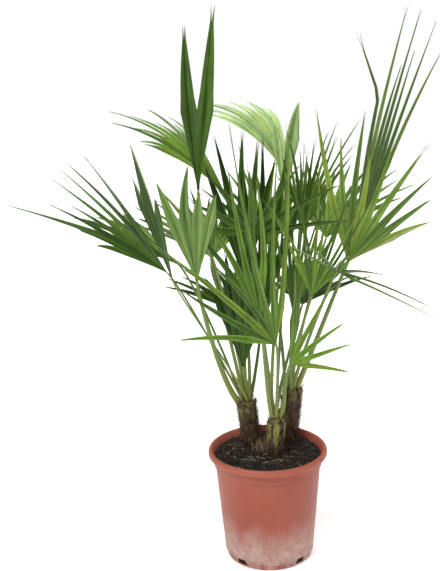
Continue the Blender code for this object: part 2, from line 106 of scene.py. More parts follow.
# The bright tone is painted light: the front leaves are coloured lighter, as if sunlit.
# The pale tone is painted backlight: those leaves are coloured paler, as if lit through from behind.
LEAVES = [
    leaf("twin", "left", (-0.122, 0.03, 0.754), (0.005, -0.10, 1.0), (1.0, 0.1, 0.0), 23, (0.312, 0.36),
         join=0.43, bend=(0.03, 0.0, 0.0), cup=0.0, tone="dark"),
    leaf("left_low", "left", (-0.189, 0.0, 0.601), (-0.75, 0.11, 0.65), (0.11, 0.93, 0.34), 65,
         (0.16, 0.20, 0.27, 0.25, 0.30, 0.33, 0.34, 0.35), join=0.34, tone="dark"),
    leaf("left_broad", "left", (-0.176, -0.03, 0.592), (-0.19, -0.29, 0.94), (0.57, -0.82, -0.08), 27,
         (0.23, 0.32, 0.21), join=0.60, cup=0.0, tone="dark"),
    leaf("left_face", "left", (-0.129, -0.065, 0.599), (-0.04, -0.19, 0.98), (0.95, 0.16, -0.26), 40,
         (0.23, 0.25, 0.19, 0.19), join=0.52, stalk=(0.014, 0.006), tone="grey"),
    leaf("left_long", "left", (-0.17, 0.07, 0.60), (-0.83, 0.20, 0.54), (0.14, 0.87, 0.48), 42,
         (0.37, 0.25, 0.21, 0.17), join=0.30, bend=(0.0, 0.0, -0.12), tone="pale"),
    leaf("arch_left", "left", (-0.074, 0.12, 0.737), (-0.59, 0.19, 0.78), (0.58, 0.81, -0.06), 50,
         (0.21, 0.28, 0.31, 0.28, 0.25), join=0.5, bend=(-0.10, 0.0, -0.24), tone="pale"),
    leaf("low_dark", "left", (-0.045, 0.008, 0.400), (0.02, -0.02, 1.0), (1.0, 0.1, 0.0), 44,
         (0.22, 0.26, 0.28, 0.26, 0.22), join=0.5, tone="dark"),
    leaf("mid_dark", "left", (-0.035, 0.06, 0.56), (-0.02, 0.05, 1.0), (1.0, -0.2, 0.05), 38,
         (0.27, 0.32, 0.335, 0.31, 0.27), join=0.42, tone="dark"),
    leaf("front_left", "middle", (0.017, -0.06, 0.467), (-0.37, -0.48, 0.79), (0.40, 0.01, 0.92), 76,
         (0.26, 0.30, 0.41, 0.29, 0.52, 0.46, 0.48), join=0.15, bend=(0.0, 0.0, -0.05), tone="bright"),
    leaf("front_right", "middle", (0.045, -0.055, 0.425), (0.58, -0.44, 0.69), (0.20, -0.10, -0.97), 90,
         (0.21, 0.22, 0.18, 0.16, 0.14), join=0.17, tone="bright"),
    leaf("centre", "middle", (-0.022, -0.02, 0.673), (0.0, -0.5, 0.85), (1.0, 0.0, 0.0), 160,
         (0.14, 0.15, 0.19, 0.18, 0.21, 0.22, 0.2), join=0.22, tone="mid"),
    leaf("right_fan", "right", (0.162, 0.0, 0.611), (0.38, -0.06, 0.92), (0.95, -0.07, -0.26), 82,
         (0.32, 0.26, 0.32, 0.23, 0.25, 0.29, 0.24, 0.21, 0.18),
         join=0.30, stalk=(0.013, 0.006), tone="olive"),
    leaf("right_tall", "right", (0.176, 0.055, 0.612), (0.25, 0.05, 0.97), (0.54, 0.84, -0.02), 39,
         (0.41, 0.48, 0.39, 0.48, 0.42, 0.48, 0.46),
         join=0.40, bend=(0.03, 0.0, 0.0), kink=(0, (-0.055, 0.0, 0.03)), tone="mid"),
    leaf("right_low", "right", (0.137, -0.035, 0.600), (0.15, -0.85, 0.35), (0.85, 0.05, -0.50), 140,
         (0.16, 0.17, 0.18, 0.19, 0.22, 0.22), join=0.14, tone="mid"),
    leaf("arch_back", "middle", (0.054, 0.16, 0.757), (-0.21, 0.15, 0.97), (0.73, 0.68, 0.11), 44,
         (0.28, 0.28, 0.24, 0.24, 0.22), join=0.55, bend=(-0.27, 0.0, -0.39), tone="pale"),
    leaf("back_point", "middle", (0.050, 0.13, 0.71), (0.02, 0.05, 1.0), (1.0, 0.3, 0.0), 26,
         (0.17, 0.22), join=0.6, tone="grey"),
    leaf("right_mid", "right", (0.080, 0.085, 0.65), (0.16, -0.09, 0.98), (0.85, 0.26, 0.40), 50,
         (0.19, 0.23, 0.20, 0.25, 0.27, 0.22), join=0.38, tone="mid"),
    leaf("right_inner", "right", (0.090, -0.020, 0.55), (0.2, -0.15, 0.92), (0.95, 0.1, -0.15), 76,
         (0.26, 0.28, 0.29, 0.29, 0.26, 0.22), join=0.22, tone="bright"),
    leaf("young", "right", (0.048, 0.020, 0.392), (0.10, -0.10, 1.0), (1.0, 0.2, 0.0), 12,
         (0.20,), join=0.5, bend=(0.0, 0.0, 0.0), cup=0.0, tone="grey"),
    leaf("back_left", "left", (-0.10, 0.20, 0.58), (-0.25, 0.85, 0.50), (0.95, 0.3, 0.0), 100,
         (0.23, 0.25, 0.27, 0.28, 0.27, 0.25, 0.22), join=0.38, tone="mid"),
    leaf("back_mid", "middle", (0.02, 0.22, 0.60), (0.0, 0.70, 0.70), (1.0, 0.1, 0.1), 90,
         (0.22, 0.25, 0.27, 0.27, 0.25, 0.22), join=0.38, tone="mid"),
    leaf("back_right", "right", (0.14, 0.18, 0.62), (0.35, 0.75, 0.55), (0.9, -0.45, 0.0), 96,
         (0.22, 0.25, 0.27, 0.28, 0.27, 0.25), join=0.38, tone="mid"),
    leaf("back_low_right", "middle", (0.09, 0.20, 0.47), (0.25, 0.9, 0.30), (0.95, -0.3, 0.0), 100,
         (0.2, 0.22, 0.24, 0.23, 0.2), join=0.38, tone="dark"),
    leaf("back_low_left", "left", (-0.06, 0.20, 0.46), (-0.2, 0.9, 0.30), (0.95, 0.3, 0.0), 100,
         (0.2, 0.22, 0.24, 0.23, 0.2), join=0.38, tone="dark"),
    leaf("inner_left", "middle", (-0.012, -0.050, 0.520), (-0.22, -0.12, 0.95), (0.90, -0.30, 0.20), 46,
         (0.27, 0.31, 0.33, 0.34, 0.30), join=0.26, tone="bright"),
    leaf("inner_right", "right", (0.058, 0.035, 0.500), (0.12, 0.03, 0.99), (0.90, 0.30, 0.05), 44,
         (0.28, 0.33, 0.36, 0.32, 0.27), join=0.26, tone="mid"),
    leaf("inner_back", "left", (0.000, 0.085, 0.500), (0.02, 0.03, 1.0), (0.95, -0.25, 0.0), 48,
         (0.30, 0.36, 0.38, 0.37, 0.31), join=0.30, tone="dark"),
]


def unit(v):
    v = np.asarray(v, dtype=float)
    return v / np.linalg.norm(v)


def revolve(profile, sides):
    """A closed solid from an (r, z) outline that begins and ends on the axis."""
    verts = [(0.0, 0.0, profile[0][1])]
    ring_count = len(profile) - 2
    for r, z in profile[1:-1]:
        for k in range(sides):
            a = 2 * math.pi * k / sides
            verts.append((r * math.cos(a), r * math.sin(a), z))
    verts.append((0.0, 0.0, profile[-1][1]))
    last = len(verts) - 1
    faces = []
    for k in range(sides):
        n = (k + 1) % sides
        faces.append((0, 1 + n, 1 + k))
        for i in range(ring_count - 1):
            lo = 1 + i * sides
            hi = lo + sides
            faces.append((lo + k, lo + n, hi + n, hi + k))
        top = 1 + (ring_count - 1) * sides
        faces.append((last, top + k, top + n))
    return verts, faces


def inner_wall():
    """The pot's inner outline from the floor's edge up to the rim, as (r, z)."""
    return [
        (FOOT_R - WALL_T - 0.0004, FLOOR_T),
        (FOOT_R - WALL_T, FOOT_H),
        (WALL_FOOT_R - WALL_T, FOOT_H + 0.004),
        (WALL_TOP_R - WALL_T, POT_H - LIP_H - BAND_H),
        (WALL_TOP_R + BAND_STEP - WALL_T, POT_H - LIP_H - 0.002),
        (RIM_INNER_R - 0.0006, POT_H - 0.003),
    ]


def pot_profile():
    lip_z = POT_H - LIP_H
    band_z = lip_z - BAND_H
    outer = [
        (0.0, 0.0),
        (FOOT_R - 0.003, 0.0),
        (FOOT_R, 0.003),
        (FOOT_R, FOOT_H - 0.001),
        (WALL_FOOT_R, FOOT_H + 0.001),
        (WALL_TOP_R - 0.0008, band_z - 0.001),
        (WALL_TOP_R + BAND_STEP, band_z + 0.001),
        (WALL_TOP_R + BAND_STEP + 0.0015, lip_z - 0.001),
        (RIM_R - 0.0012, lip_z),
        (RIM_R, lip_z + 0.002),
        (RIM_R, POT_H - 0.0045),
        (RIM_R - 0.0015, POT_H - 0.0015),
        (RIM_R - 0.0035, POT_H),
        (RIM_INNER_R + 0.0015, POT_H),
    ]
    return outer + inner_wall()[::-1] + [(0.0, FLOOR_T)]


def stem_mesh(spec):
    """A short fibrous stem: flared foot cut flat on the soil, rings of old leaf bases, domed crown."""
    foot = np.array([*spec["foot"], SOIL_Z + GAP])
    crown = np.array(spec["crown"])
    r0 = spec["radius"]
    rings = []
    for t in (0.0, 0.10, 0.25, 0.42, 0.58, 0.75, 0.90):
        swell = 1 + STEM_FLARE * math.exp(-t / 0.10) - 0.10 * math.sin(math.pi * t)
        rings.append((foot + t * (crown - foot), r0 * swell, 0.06, t))
    for lift in (0.0, 24.0, 46.0, 68.0):
        a = math.radians(lift)
        rings.append((crown + np.array([0, 0, r0 * DOME_FLATTEN * math.sin(a)]), r0 * math.cos(a), 0.0, 1.0))
    verts = [tuple(foot)]
    for centre, radius, knob, t in rings:
        for k in range(STEM_SIDES):
            a = 2 * math.pi * k / STEM_SIDES
            r = radius * (1 + knob * math.sin(3 * a + 9 * t))
            verts.append((centre[0] + r * math.cos(a), centre[1] + r * math.sin(a), centre[2]))
    verts.append((crown[0], crown[1], crown[2] + r0 * DOME_FLATTEN))
    last = len(verts) - 1
    faces = []
    for k in range(STEM_SIDES):
        n = (k + 1) % STEM_SIDES
        faces.append((0, 1 + n, 1 + k))
        for i in range(len(rings) - 1):
            lo = 1 + i * STEM_SIDES
            hi = lo + STEM_SIDES
            faces.append((lo + k, lo + n, hi + n, hi + k))
        top = 1 + (len(rings) - 1) * STEM_SIDES
        faces.append((last, top + k, top + n))
    return verts, faces


def tree_of(verts, faces):
    return BVHTree.FromPolygons([Vector(tuple(v)) for v in verts], [tuple(f) for f in faces])


def fan_axes(spec, twist=0.0):
    """The middle finger's direction, the sideways direction and the upper face's normal."""
    a = unit(spec["axis"])
    b = np.asarray(spec["side"], dtype=float)
    b = unit(b - (b @ a) * a)
    n = np.cross(b, a)
    c, s = math.cos(math.radians(twist)), math.sin(math.radians(twist))
    b = c * b + s * n
    return a, b, np.cross(b, a)


def blade_point(spec, axes, r, angle):
    """A point of the blade's middle surface, r from the hub in the direction of an angle from the middle."""
    a, b, n = axes
    d = unit(math.cos(angle) * a + math.sin(angle) * b + spec["cup"] * (1 - math.cos(angle)) * n)
    reach = max(spec["fingers"])
    return np.array(spec["hub"]) + r * d + np.array(spec["bend"]) * reach * (r / reach) ** 2


def seat_of(spec, tree, turn, tilt):
    """Where a stalk leaves its stem's crown, and in what direction."""
    crown = np.array(STEMS[spec["stem"]]["crown"])
    lean = np.array(spec["hub"]) - crown
    azimuth = math.atan2(lean[1], lean[0]) + math.radians(turn)
    polar = math.atan2(math.hypot(lean[0], lean[1]), lean[2]) * 1.2 + math.radians(8 + tilt)
    polar = min(max(polar, math.radians(6)), math.radians(64))
    out = (math.cos(azimuth) * math.sin(polar), math.sin(azimuth) * math.sin(polar), math.cos(polar))
    hit, normal, _, _ = tree.ray_cast(Vector(tuple(crown)), Vector(out))
    start = np.array(hit) + np.array(normal) * GAP
    return start, np.array(normal)


def stalk_path(spec, axes, start, direction, count):
    hub = np.array(spec["hub"])
    a = axes[0]
    run = np.linalg.norm(hub - start)
    out = []
    for t in np.linspace(0.0, 1.0, count):
        p = (2 * t**3 - 3 * t**2 + 1) * start + (t**3 - 2 * t**2 + t) * direction * run
        p = p + (3 * t**2 - 2 * t**3) * hub + (t**3 - t**2) * a * run * 0.35
        out.append(p)
    return np.array(out)


def stalk_mesh(spec, axes, start, direction, grow=0.0):
    path = stalk_path(spec, axes, start, direction, STALK_RINGS)
    path[0] = path[0] + unit(direction) * grow * 0.1
    w0, w1 = spec["stalk"]
    verts = []
    for i, p in enumerate(path):
        t = i / (STALK_RINGS - 1)
        if i == 0:
            along = unit(direction)
        elif i == STALK_RINGS - 1:
            along = axes[0]
        else:
            along = unit(path[i + 1] - path[i - 1])
        wide = axes[1] - (axes[1] @ along) * along
        wide = unit(wide)
        thick = np.cross(along, wide)
        half = (w0 + (w1 - w0) * t + grow) / 2
        for k in range(STALK_SIDES):
            a = 2 * math.pi * k / STALK_SIDES
            verts.append(p + half * math.cos(a) * wide + half * STALK_FLAT * math.sin(a) * thick)
    faces = [tuple(range(STALK_SIDES))[::-1]]
    for i in range(STALK_RINGS - 1):
        lo = i * STALK_SIDES
        hi = lo + STALK_SIDES
        for k in range(STALK_SIDES):
            n = (k + 1) % STALK_SIDES
            faces.append((lo + k, lo + n, hi + n, hi + k))
    top = (STALK_RINGS - 1) * STALK_SIDES
    faces.append(tuple(top + k for k in range(STALK_SIDES)))
    return verts, faces


def joined_radius(spec, length):
    return min(spec["join"] * max(spec["fingers"]), 0.72 * length)


def finger_rows(spec, axes, index, lift, cut):
    """Left and right edge points of one finger's free part, from its neighbours to the tip."""
    count = len(spec["fingers"])
    step = math.radians(spec["spread"]) / count
    middle = -math.radians(spec["spread"]) / 2 + (index + 0.5) * step
    length = spec["fingers"][index]
    start = joined_radius(spec, length)
    end = start + (length - start) * cut
    rows = []
    for q in (0.0, 0.34, 0.68, 1.0):
        r = start + (end - start) * q
        half = step / 2 * start * (1 - q**1.5) / r
        rise = axes[2] * lift * length * q**2
        if spec["kink"] and spec["kink"][0] == index and q > 0.6:
            rise = rise + np.array(spec["kink"][1]) * (q - 0.6) / 0.4
        if q == 1.0:
            rows.append([blade_point(spec, axes, r, middle) + rise])
        else:
            rows.append([blade_point(spec, axes, r, middle - half) + rise,
                         blade_point(spec, axes, r, middle + half) + rise])
    return rows


def slab(points, faces, normal, thicknesses):
    """Turns an open sheet into a closed thin solid along one normal."""
    count = len(points)
    up = [np.asarray(p) + normal * t / 2 for p, t in zip(points, thicknesses)]
    down = [np.asarray(p) - normal * t / 2 for p, t in zip(points, thicknesses)]
    out = [tuple(f) for f in faces] + [tuple(i + count for i in f[::-1]) for f in faces]
    edges = {}
    for f in faces:
        for i, j in zip(f, f[1:] + f[:1]):
            edges[(i, j)] = True
    for i, j in edges:
        if (j, i) not in edges:
            out.append((j, i, i + count, j + count))
    return up + down, out


def free_finger_mesh(spec, axes, index, lift, cut, skip, grow):
    rows = finger_rows(spec, axes, index, lift, cut)
    if skip:
        first = [rows[0][k] + 0.35 * (rows[1][k] - rows[0][k]) for k in (0, 1)]
        rows = [first] + rows[1:]
    points = [p for row in rows for p in row]
    faces = [[0, 1, 3, 2], [2, 3, 5, 4], [4, 5, 6]]
    return slab(points, faces, axes[2], [BLADE_T + grow] * len(points))


def fan_mesh(spec, axes, choices, grow=0.0, joined_only=False):
    """The whole blade as one closed slab: joined from a narrow neck at the hub, then free fingers."""
    count = len(spec["fingers"])
    step = math.radians(spec["spread"]) / count
    hub = np.array(spec["hub"])
    a, b, n = axes
    neck = spec["stalk"][1]
    points = []
    faces = []
    thick = []

    def add(p, t):
        points.append(np.asarray(p))
        thick.append(t + grow)
        return len(points) - 1

    lowest = [joined_radius(spec, x) for x in spec["fingers"]]
    edge = [min(lowest[max(j - 1, 0)], lowest[min(j, count - 1)]) for j in range(count + 1)]
    rails = []
    for j in range(count + 1):
        angle = -math.radians(spec["spread"]) / 2 + j * step
        base = hub + a * GAP + b * neck * (j / count - 0.5)
        mid = blade_point(spec, axes, edge[j] * 0.5, angle)
        top = blade_point(spec, axes, edge[j], angle)
        rails.append([add(base, BLADE_T), add(mid, BLADE_T), add(top, BLADE_T)])
    for i in range(count):
        left, right = rails[i], rails[i + 1]
        for k in (0, 1):
            faces.append([left[k], right[k], right[k + 1], left[k + 1]])
        if joined_only:
            continue
        lift, cut = choices[i]
        rows = finger_rows(spec, axes, i, lift, cut)
        base = [left[2], right[2]]
        own = joined_radius(spec, spec["fingers"][i])
        if own - edge[i] > 0.004 or own - edge[i + 1] > 0.004:
            nxt = [add(rows[0][0], BLADE_T), add(rows[0][1], BLADE_T)]
            if own - edge[i] <= 0.004:
                nxt[0] = left[2]
                points.pop(-2)
                thick.pop(-2)
                nxt[1] -= 1
            elif own - edge[i + 1] <= 0.004:
                nxt[1] = right[2]
                points.pop()
                thick.pop()
            if nxt[0] != base[0] and nxt[1] != base[1]:
                faces.append([base[0], base[1], nxt[1], nxt[0]])
            elif nxt[0] != base[0]:
                faces.append([base[0], base[1], nxt[0]])
            else:
                faces.append([base[0], base[1], nxt[1]])
            base = nxt
        for row in rows[1:]:
            if len(row) == 2:
                nxt = [add(row[0], BLADE_T), add(row[1], BLADE_T)]
                faces.append([base[0], base[1], nxt[1], nxt[0]])
                base = nxt
            else:
                faces.append([base[0], base[1], add(row[0], TIP_T)])
    return slab(points, faces, n, thick)


def clear_of(verts, faces, placed):
    tree = tree_of(verts, faces)
    return not any(tree.overlap(other) for other in placed)


def arrange(leaves, stem_trees):
    """Lays the leaves one after another, lifting or shortening a finger that would run into what is there."""
    placed = list(stem_trees.values())
    stalks = {}
    notes = []
    for spec in leaves:
        for bow, tilt, turn in [(w, x, y) for w in BOWS for x in SEAT_TILTS for y in SEAT_TURNS]:
            start, direction = seat_of(spec, stem_trees[spec["stem"]], turn, tilt)
            direction = direction * bow
            if clear_of(*stalk_mesh(spec, fan_axes(spec), start, direction, 2 * CLEAR), placed):
                break
        else:
            notes.append(f"{spec['name']}: stalk touches")
        stalks[spec["name"]] = (start, direction)
        placed.append(tree_of(*stalk_mesh(spec, fan_axes(spec), start, direction)))
    own_place = {spec["name"]: len(stem_trees) + k for k, spec in enumerate(leaves)}
    laid = []
    for spec in leaves:
        others = [t for k, t in enumerate(placed) if k != own_place[spec["name"]]]
        for twist in TWISTS:
            axes = fan_axes(spec, twist)
            if clear_of(*fan_mesh(spec, axes, None, grow=2 * CLEAR, joined_only=True), others):
                break
        else:
            notes.append(f"{spec['name']}: joined part touches")
            axes = fan_axes(spec)
        choices = []
        siblings = []
        for i in range(len(spec["fingers"])):
            found = None
            for cut in CUTS:
                for lift in LIFTS:
                    whole = free_finger_mesh(spec, axes, i, lift, cut, False, 2 * CLEAR)
                    part = free_finger_mesh(spec, axes, i, lift, cut, True, 2 * CLEAR)
                    if clear_of(*whole, others) and clear_of(*part, siblings):
                        found = (lift, cut)
                        break
                if found:
                    break
            if not found:
                notes.append(f"{spec['name']}: finger {i} touches")
                found = (0.0, CUTS[-1])
            elif found[1] < 1.0:
                notes.append(f"{spec['name']}: finger {i} cut to {found[1]}")
            choices.append(found)
            siblings.append(tree_of(*free_finger_mesh(spec, axes, i, *found, True, 0.0)))
        placed.append(tree_of(*fan_mesh(spec, axes, choices)))
        laid.append((spec, axes, choices, *stalks[spec["name"]]))
    return laid, notes


# Camera of the photograph
CAMERA_PLACE = (-0.086, -1.94, 1.085)
CAMERA_PITCH = 14.85
CAMERA_ROLL = 1.8
CAMERA_LENS = 65.25

# Finer sizes and steps of the shown blades
JOINED_STEPS = 9
FREE_STEPS = (0, .08, .16, .25, .35, .45, .55, .65, .74, .82, .88, .93, .965, .985, 1)
BLADE_SHOWN_T = 0.0005
HALF_COLUMNS = 4
NECK_BLEND = 0.030
WIDE_FINGER = 0.023
NARROWER = 0.14
SPLAY = 0.25
DOUBLED = ("right_inner", "right_mid", "inner_right")
SINGLE = ("twin", "left_broad", "back_point")
# The pale look leans to the lighter tones, adding to its painted backlight.
SHARES = {"mid": (0.28, 0.34, 0.24, 0.14), "dark": (0.45, 0.40, 0.15, 0.0), "pale": (0.05, 0.35, 0.45, 0.15),
          "grey": (0.0, 0.40, 0.60, 0.0)}
# back_point takes the pale painted-backlight colour; arch_left and left_long take the mid colour.
LOOKS = {"back_point": "pale", "arch_left": "mid", "left_long": "mid"}
SHADES = {"deep": (0.62, 0.68, 0.62), "plain": (1.0, 1.0, 1.0), "light": (1.34, 1.30, 1.30),
          "warm": (1.38, 1.18, 1.0)}

# Shown stalks and stems. The middle stem has green leaf bases down to the soil, with fewer fibres.
STALK_SHOWN_RINGS = 22
STALK_SHOWN_SIDES = 12
STEM_SHOWN_SIDES = 64
STEM_SHOWN_RINGS = 60
DOME_START = 0.82
OLD_BASES = 22
OLD_BASE_TURN = 2.4
OLD_BASE_TALL = (0.010, 0.022)
OLD_BASE_WIDE = (0.42, 0.62)
FIBRE_LONG = (0.008, 0.030)
FIBRE_HALF_W = (0.00018, 0.00055)
RELIEF_TURNS = 7
SPURS = 9
SPUR_R = 0.0010
SHEATH_FOOT = {"left": (0.55, 0.92), "middle": (0.02, 0.50), "right": (0.55, 0.92)}
SHEATH_SWELL = {"left": 1.03, "middle": 1.10, "right": 1.0}
FIBRE_SHARE = {"left": 0.9, "middle": 0.4, "right": 1.0}
STUB_BROWN = {"left": 0.6, "middle": 0.35, "right": 0.75}

# Shown pot, soil and floor
POT_SHOWN_SIDES = 128
SOIL_RINGS = 46
SOIL_SIDES = 120
SOIL_SHOWN_R = RIM_INNER_R - 0.0055
TANGLE_COUNT = 320
TANGLE_PLACE = (-0.008, 0.022)
TANGLE_SPREAD = 0.011
ROOTLETS = 70
ROOTLET_R = (0.00025, 0.0006)
FLOOR_HALF = 6.0

_layout = {}


def layout():
    """The leaves with their places, worked out once."""
    if not _layout:
        trees = {name: tree_of(*stem_mesh(spec)) for name, spec in STEMS.items()}
        laid, _ = arrange(LEAVES, trees)
        _layout["leaves"] = laid
    return _layout["leaves"]


class PalmSizes(bpy.types.PropertyGroup):
    """Sizes of the shown pieces that a user may change."""

    fold: bpy.props.FloatProperty(name="Fold",
                                  description="Depth of a finger's fold as a share of its half width",
                                  default=0.62, min=0.0, max=1.0, subtype="FACTOR")
    tip_split: bpy.props.FloatProperty(name="Tip split",
                                       description="Longest share of a finger that its tip is split",
                                       default=0.22, min=0.0, max=0.6, subtype="FACTOR")
    spine: bpy.props.FloatProperty(name="Spine length", description="Length of the stalks' spines",
                                   default=0.0045, min=0.0, max=0.02, unit="LENGTH")
    crumbs: bpy.props.IntProperty(name="Soil crumbs", description="Number of crumbs lying on the soil",
                                  default=1500, min=0, max=6000)
    fibres: bpy.props.IntProperty(name="Stem fibres", description="Number of fibres on each stem",
                                  default=2400, min=0, max=4000)
    soil_relief: bpy.props.FloatProperty(name="Soil relief", description="Height of the soil's unevenness",
                                         default=0.0035, min=0.0, max=0.01, unit="LENGTH")


def colour_prop(name, text, value):
    return bpy.props.FloatVectorProperty(name=name, description=text, default=value, size=3, min=0.0, max=1.0,
                                         subtype="COLOR")


class PalmColours(bpy.types.PropertyGroup):
    """Colours of the palm, its soil and its pot, linear."""

    leaf_dark: colour_prop("Dark leaf", "Upper face of the darkest leaves", (0.026, 0.060, 0.006))
    leaf_mid: colour_prop("Mid leaf", "Upper face of most leaves", (0.058, 0.112, 0.014))
    # Bright leaf: painted light, the front leaves coloured lighter as if sunlit
    leaf_bright: colour_prop("Bright leaf", "Upper face of the sunlit front leaves", (0.070, 0.136, 0.018))
    leaf_olive: colour_prop("Olive leaf", "Upper face of the right fan", (0.100, 0.172, 0.032))
    # Pale leaf: painted backlight, the back leaves coloured paler as if lit through from behind
    leaf_pale: colour_prop("Pale leaf", "Arching leaves at the back", (0.200, 0.300, 0.120))
    leaf_grey: colour_prop("Grey leaf", "Leaves with a waxy bloom", (0.072, 0.128, 0.032))
    underside: colour_prop("Underside", "Pale lower face of the leaves", (0.175, 0.270, 0.095))
    dry_tip: colour_prop("Dry tip", "Withered tips of the fingers", (0.160, 0.100, 0.045))
    stalk: colour_prop("Stalk", "Upper part of the leaf stalks", (0.120, 0.180, 0.030))
    stalk_base: colour_prop("Stalk foot", "Yellow lower end of the leaf stalks", (0.215, 0.225, 0.048))
    fibre: colour_prop("Fibre", "Brown fibres of the stems", (0.150, 0.078, 0.040))
    # Dark fibre: dark flecks in fibres and rootlets, and painted shade in the hollows of the stems' bulk
    fibre_dark_and_shade: colour_prop("Dark fibre", "Dark hollows of the stems", (0.022, 0.012, 0.008))
    soil: colour_prop("Soil", "Moist soil", (0.011, 0.009, 0.007))
    soil_light: colour_prop("Light crumbs", "Pale crumbs in the soil", (0.170, 0.135, 0.100))
    pot: colour_prop("Pot", "Terracotta-coloured plastic", (0.268, 0.063, 0.037))
    # Pot rim: painted highlight, the lip coloured lighter as if catching the light
    pot_rim_highlight: colour_prop("Pot rim", "Lighter rim", (0.290, 0.072, 0.044))
    lime: colour_prop("Lime", "Pale deposit low on the pot", (0.450, 0.330, 0.290))


def sizes():
    return bpy.context.scene.palm_sizes


def colours():
    return bpy.context.scene.palm_colours


def rgba(value):
    return (*tuple(value), 1.0)


# Shader groups


def new_group(name, inputs, outputs):
    tree = bpy.data.node_groups.new(name, "ShaderNodeTree")
    for kind, label, value in inputs:
        socket = tree.interface.new_socket(label, in_out="INPUT", socket_type=kind)
        socket.default_value = value
    for kind, label in outputs:
        tree.interface.new_socket(label, in_out="OUTPUT", socket_type=kind)
    return tree, tree.nodes.new("NodeGroupInput"), tree.nodes.new("NodeGroupOutput")


COL, NUM = "NodeSocketColor", "NodeSocketFloat"


def node(tree, kind, **values):
    made = tree.nodes.new(kind)
    for key, value in values.items():
        if key.startswith("in_"):
            made.inputs[key[3:].replace("_", " ")].default_value = value
        else:
            setattr(made, key, value)
    return made


def mix_colour(tree, factor, a, b, blend="MIX"):
    """A colour mix whose factor and colours may be sockets or values."""
    made = tree.nodes.new("ShaderNodeMix")
    made.data_type = "RGBA"
    made.blend_type = blend
    for socket, value in ((made.inputs[0], factor), (made.inputs[6], a), (made.inputs[7], b)):
        if isinstance(value, bpy.types.NodeSocket):
            tree.links.new(value, socket)
        else:
            socket.default_value = value
    return made.outputs[2]


def ramp(tree, source, low, high, to_low=0.0, to_high=1.0):
    made = node(tree, "ShaderNodeMapRange", in_From_Min=low, in_From_Max=high, in_To_Min=to_low,
                in_To_Max=to_high)
    tree.links.new(source, made.inputs["Value"])
    return made.outputs["Result"]


def noise(tree, vector, scale, detail=3.0, roughness=0.5):
    made = node(tree, "ShaderNodeTexNoise", in_Scale=scale, in_Detail=detail, in_Roughness=roughness)
    tree.links.new(vector, made.inputs["Vector"])
    return made.outputs["Fac"]


def stretched(tree, vector, scale):
    made = node(tree, "ShaderNodeMapping")
    made.inputs["Scale"].default_value = scale
    tree.links.new(vector, made.inputs["Vector"])
    return made.outputs["Vector"]


def leaf_vein_group():
    """Fine lengthwise veins and slow patches of tone, from the blade's own U across and V along."""
    tree, gin, gout = new_group(
        "Leaf Veins",
        [(COL, "Colour", (0.1, 0.2, 0.03, 1.0)), (NUM, "Vein Contrast", 0.25), (NUM, "Patch Contrast", 0.3)],
        [(COL, "Colour"), (NUM, "Height")],
    )
    uv = node(tree, "ShaderNodeUVMap", uv_map="leaf")
    veins = noise(tree, stretched(tree, uv.outputs["UV"], (3.2, 0.5, 1.0)), 3.0, 3.0)
    fine = noise(tree, stretched(tree, uv.outputs["UV"], (12.0, 1.0, 1.0)), 3.0, 1.0)
    place = node(tree, "ShaderNodeTexCoord").outputs["Object"]
    patches = noise(tree, place, 22.0, 3.0)
    vein_amount = node(tree, "ShaderNodeMath", operation="MULTIPLY")
    tree.links.new(ramp(tree, veins, 0.35, 0.65), vein_amount.inputs[0])
    tree.links.new(gin.outputs["Vein Contrast"], vein_amount.inputs[1])
    brighter = mix_colour(tree, 1.0, gin.outputs["Colour"], (2.2, 2.0, 1.9, 1.0), "MULTIPLY")
    light = mix_colour(tree, vein_amount.outputs[0], gin.outputs["Colour"], brighter)
    patch_amount = node(tree, "ShaderNodeMath", operation="MULTIPLY")
    tree.links.new(ramp(tree, patches, 0.40, 0.75), patch_amount.inputs[0])
    tree.links.new(gin.outputs["Patch Contrast"], patch_amount.inputs[1])
    deeper = mix_colour(tree, 1.0, light, (0.45, 0.50, 0.40, 1.0), "MULTIPLY")
    dark = mix_colour(tree, patch_amount.outputs[0], light, deeper)
    tree.links.new(dark, gout.inputs["Colour"])
    height = node(tree, "ShaderNodeMath", operation="MULTIPLY_ADD")
    tree.links.new(fine, height.inputs[0])
    height.inputs[1].default_value = 0.5
    tree.links.new(veins, height.inputs[2])
    tree.links.new(height.outputs[0], gout.inputs["Height"])
    return tree


def crumb_group():
    """Two-tone crumbly grain in object space, for soil and fibre."""
    tree, gin, gout = new_group(
        "Crumb Grain",
        [(COL, "Base", (0.02, 0.015, 0.01, 1.0)), (COL, "Fleck", (0.2, 0.15, 0.1, 1.0)),
         (NUM, "Scale", 160.0), (NUM, "Fleck Share", 0.3)],
        [(COL, "Colour"), (NUM, "Height")],
    )
    place = node(tree, "ShaderNodeTexCoord").outputs["Object"]
    grain = node(tree, "ShaderNodeTexNoise", in_Detail=4.0, in_Roughness=0.65)
    tree.links.new(place, grain.inputs["Vector"])
    tree.links.new(gin.outputs["Scale"], grain.inputs["Scale"])
    share = node(tree, "ShaderNodeMath", operation="MULTIPLY")
    tree.links.new(ramp(tree, grain.outputs["Fac"], 0.56, 0.72), share.inputs[0])
    tree.links.new(gin.outputs["Fleck Share"], share.inputs[1])
    colour = mix_colour(tree, share.outputs[0], gin.outputs["Base"], gin.outputs["Fleck"])
    tree.links.new(colour, gout.inputs["Colour"])
    tree.links.new(grain.outputs["Fac"], gout.inputs["Height"])
    return tree


def grouped(tree, name, maker, **values):
    group = bpy.data.node_groups.get(name) or maker()
    made = tree.nodes.new("ShaderNodeGroup")
    made.node_tree = group
    for key, value in values.items():
        made.inputs[key.replace("_", " ")].default_value = value
    return made


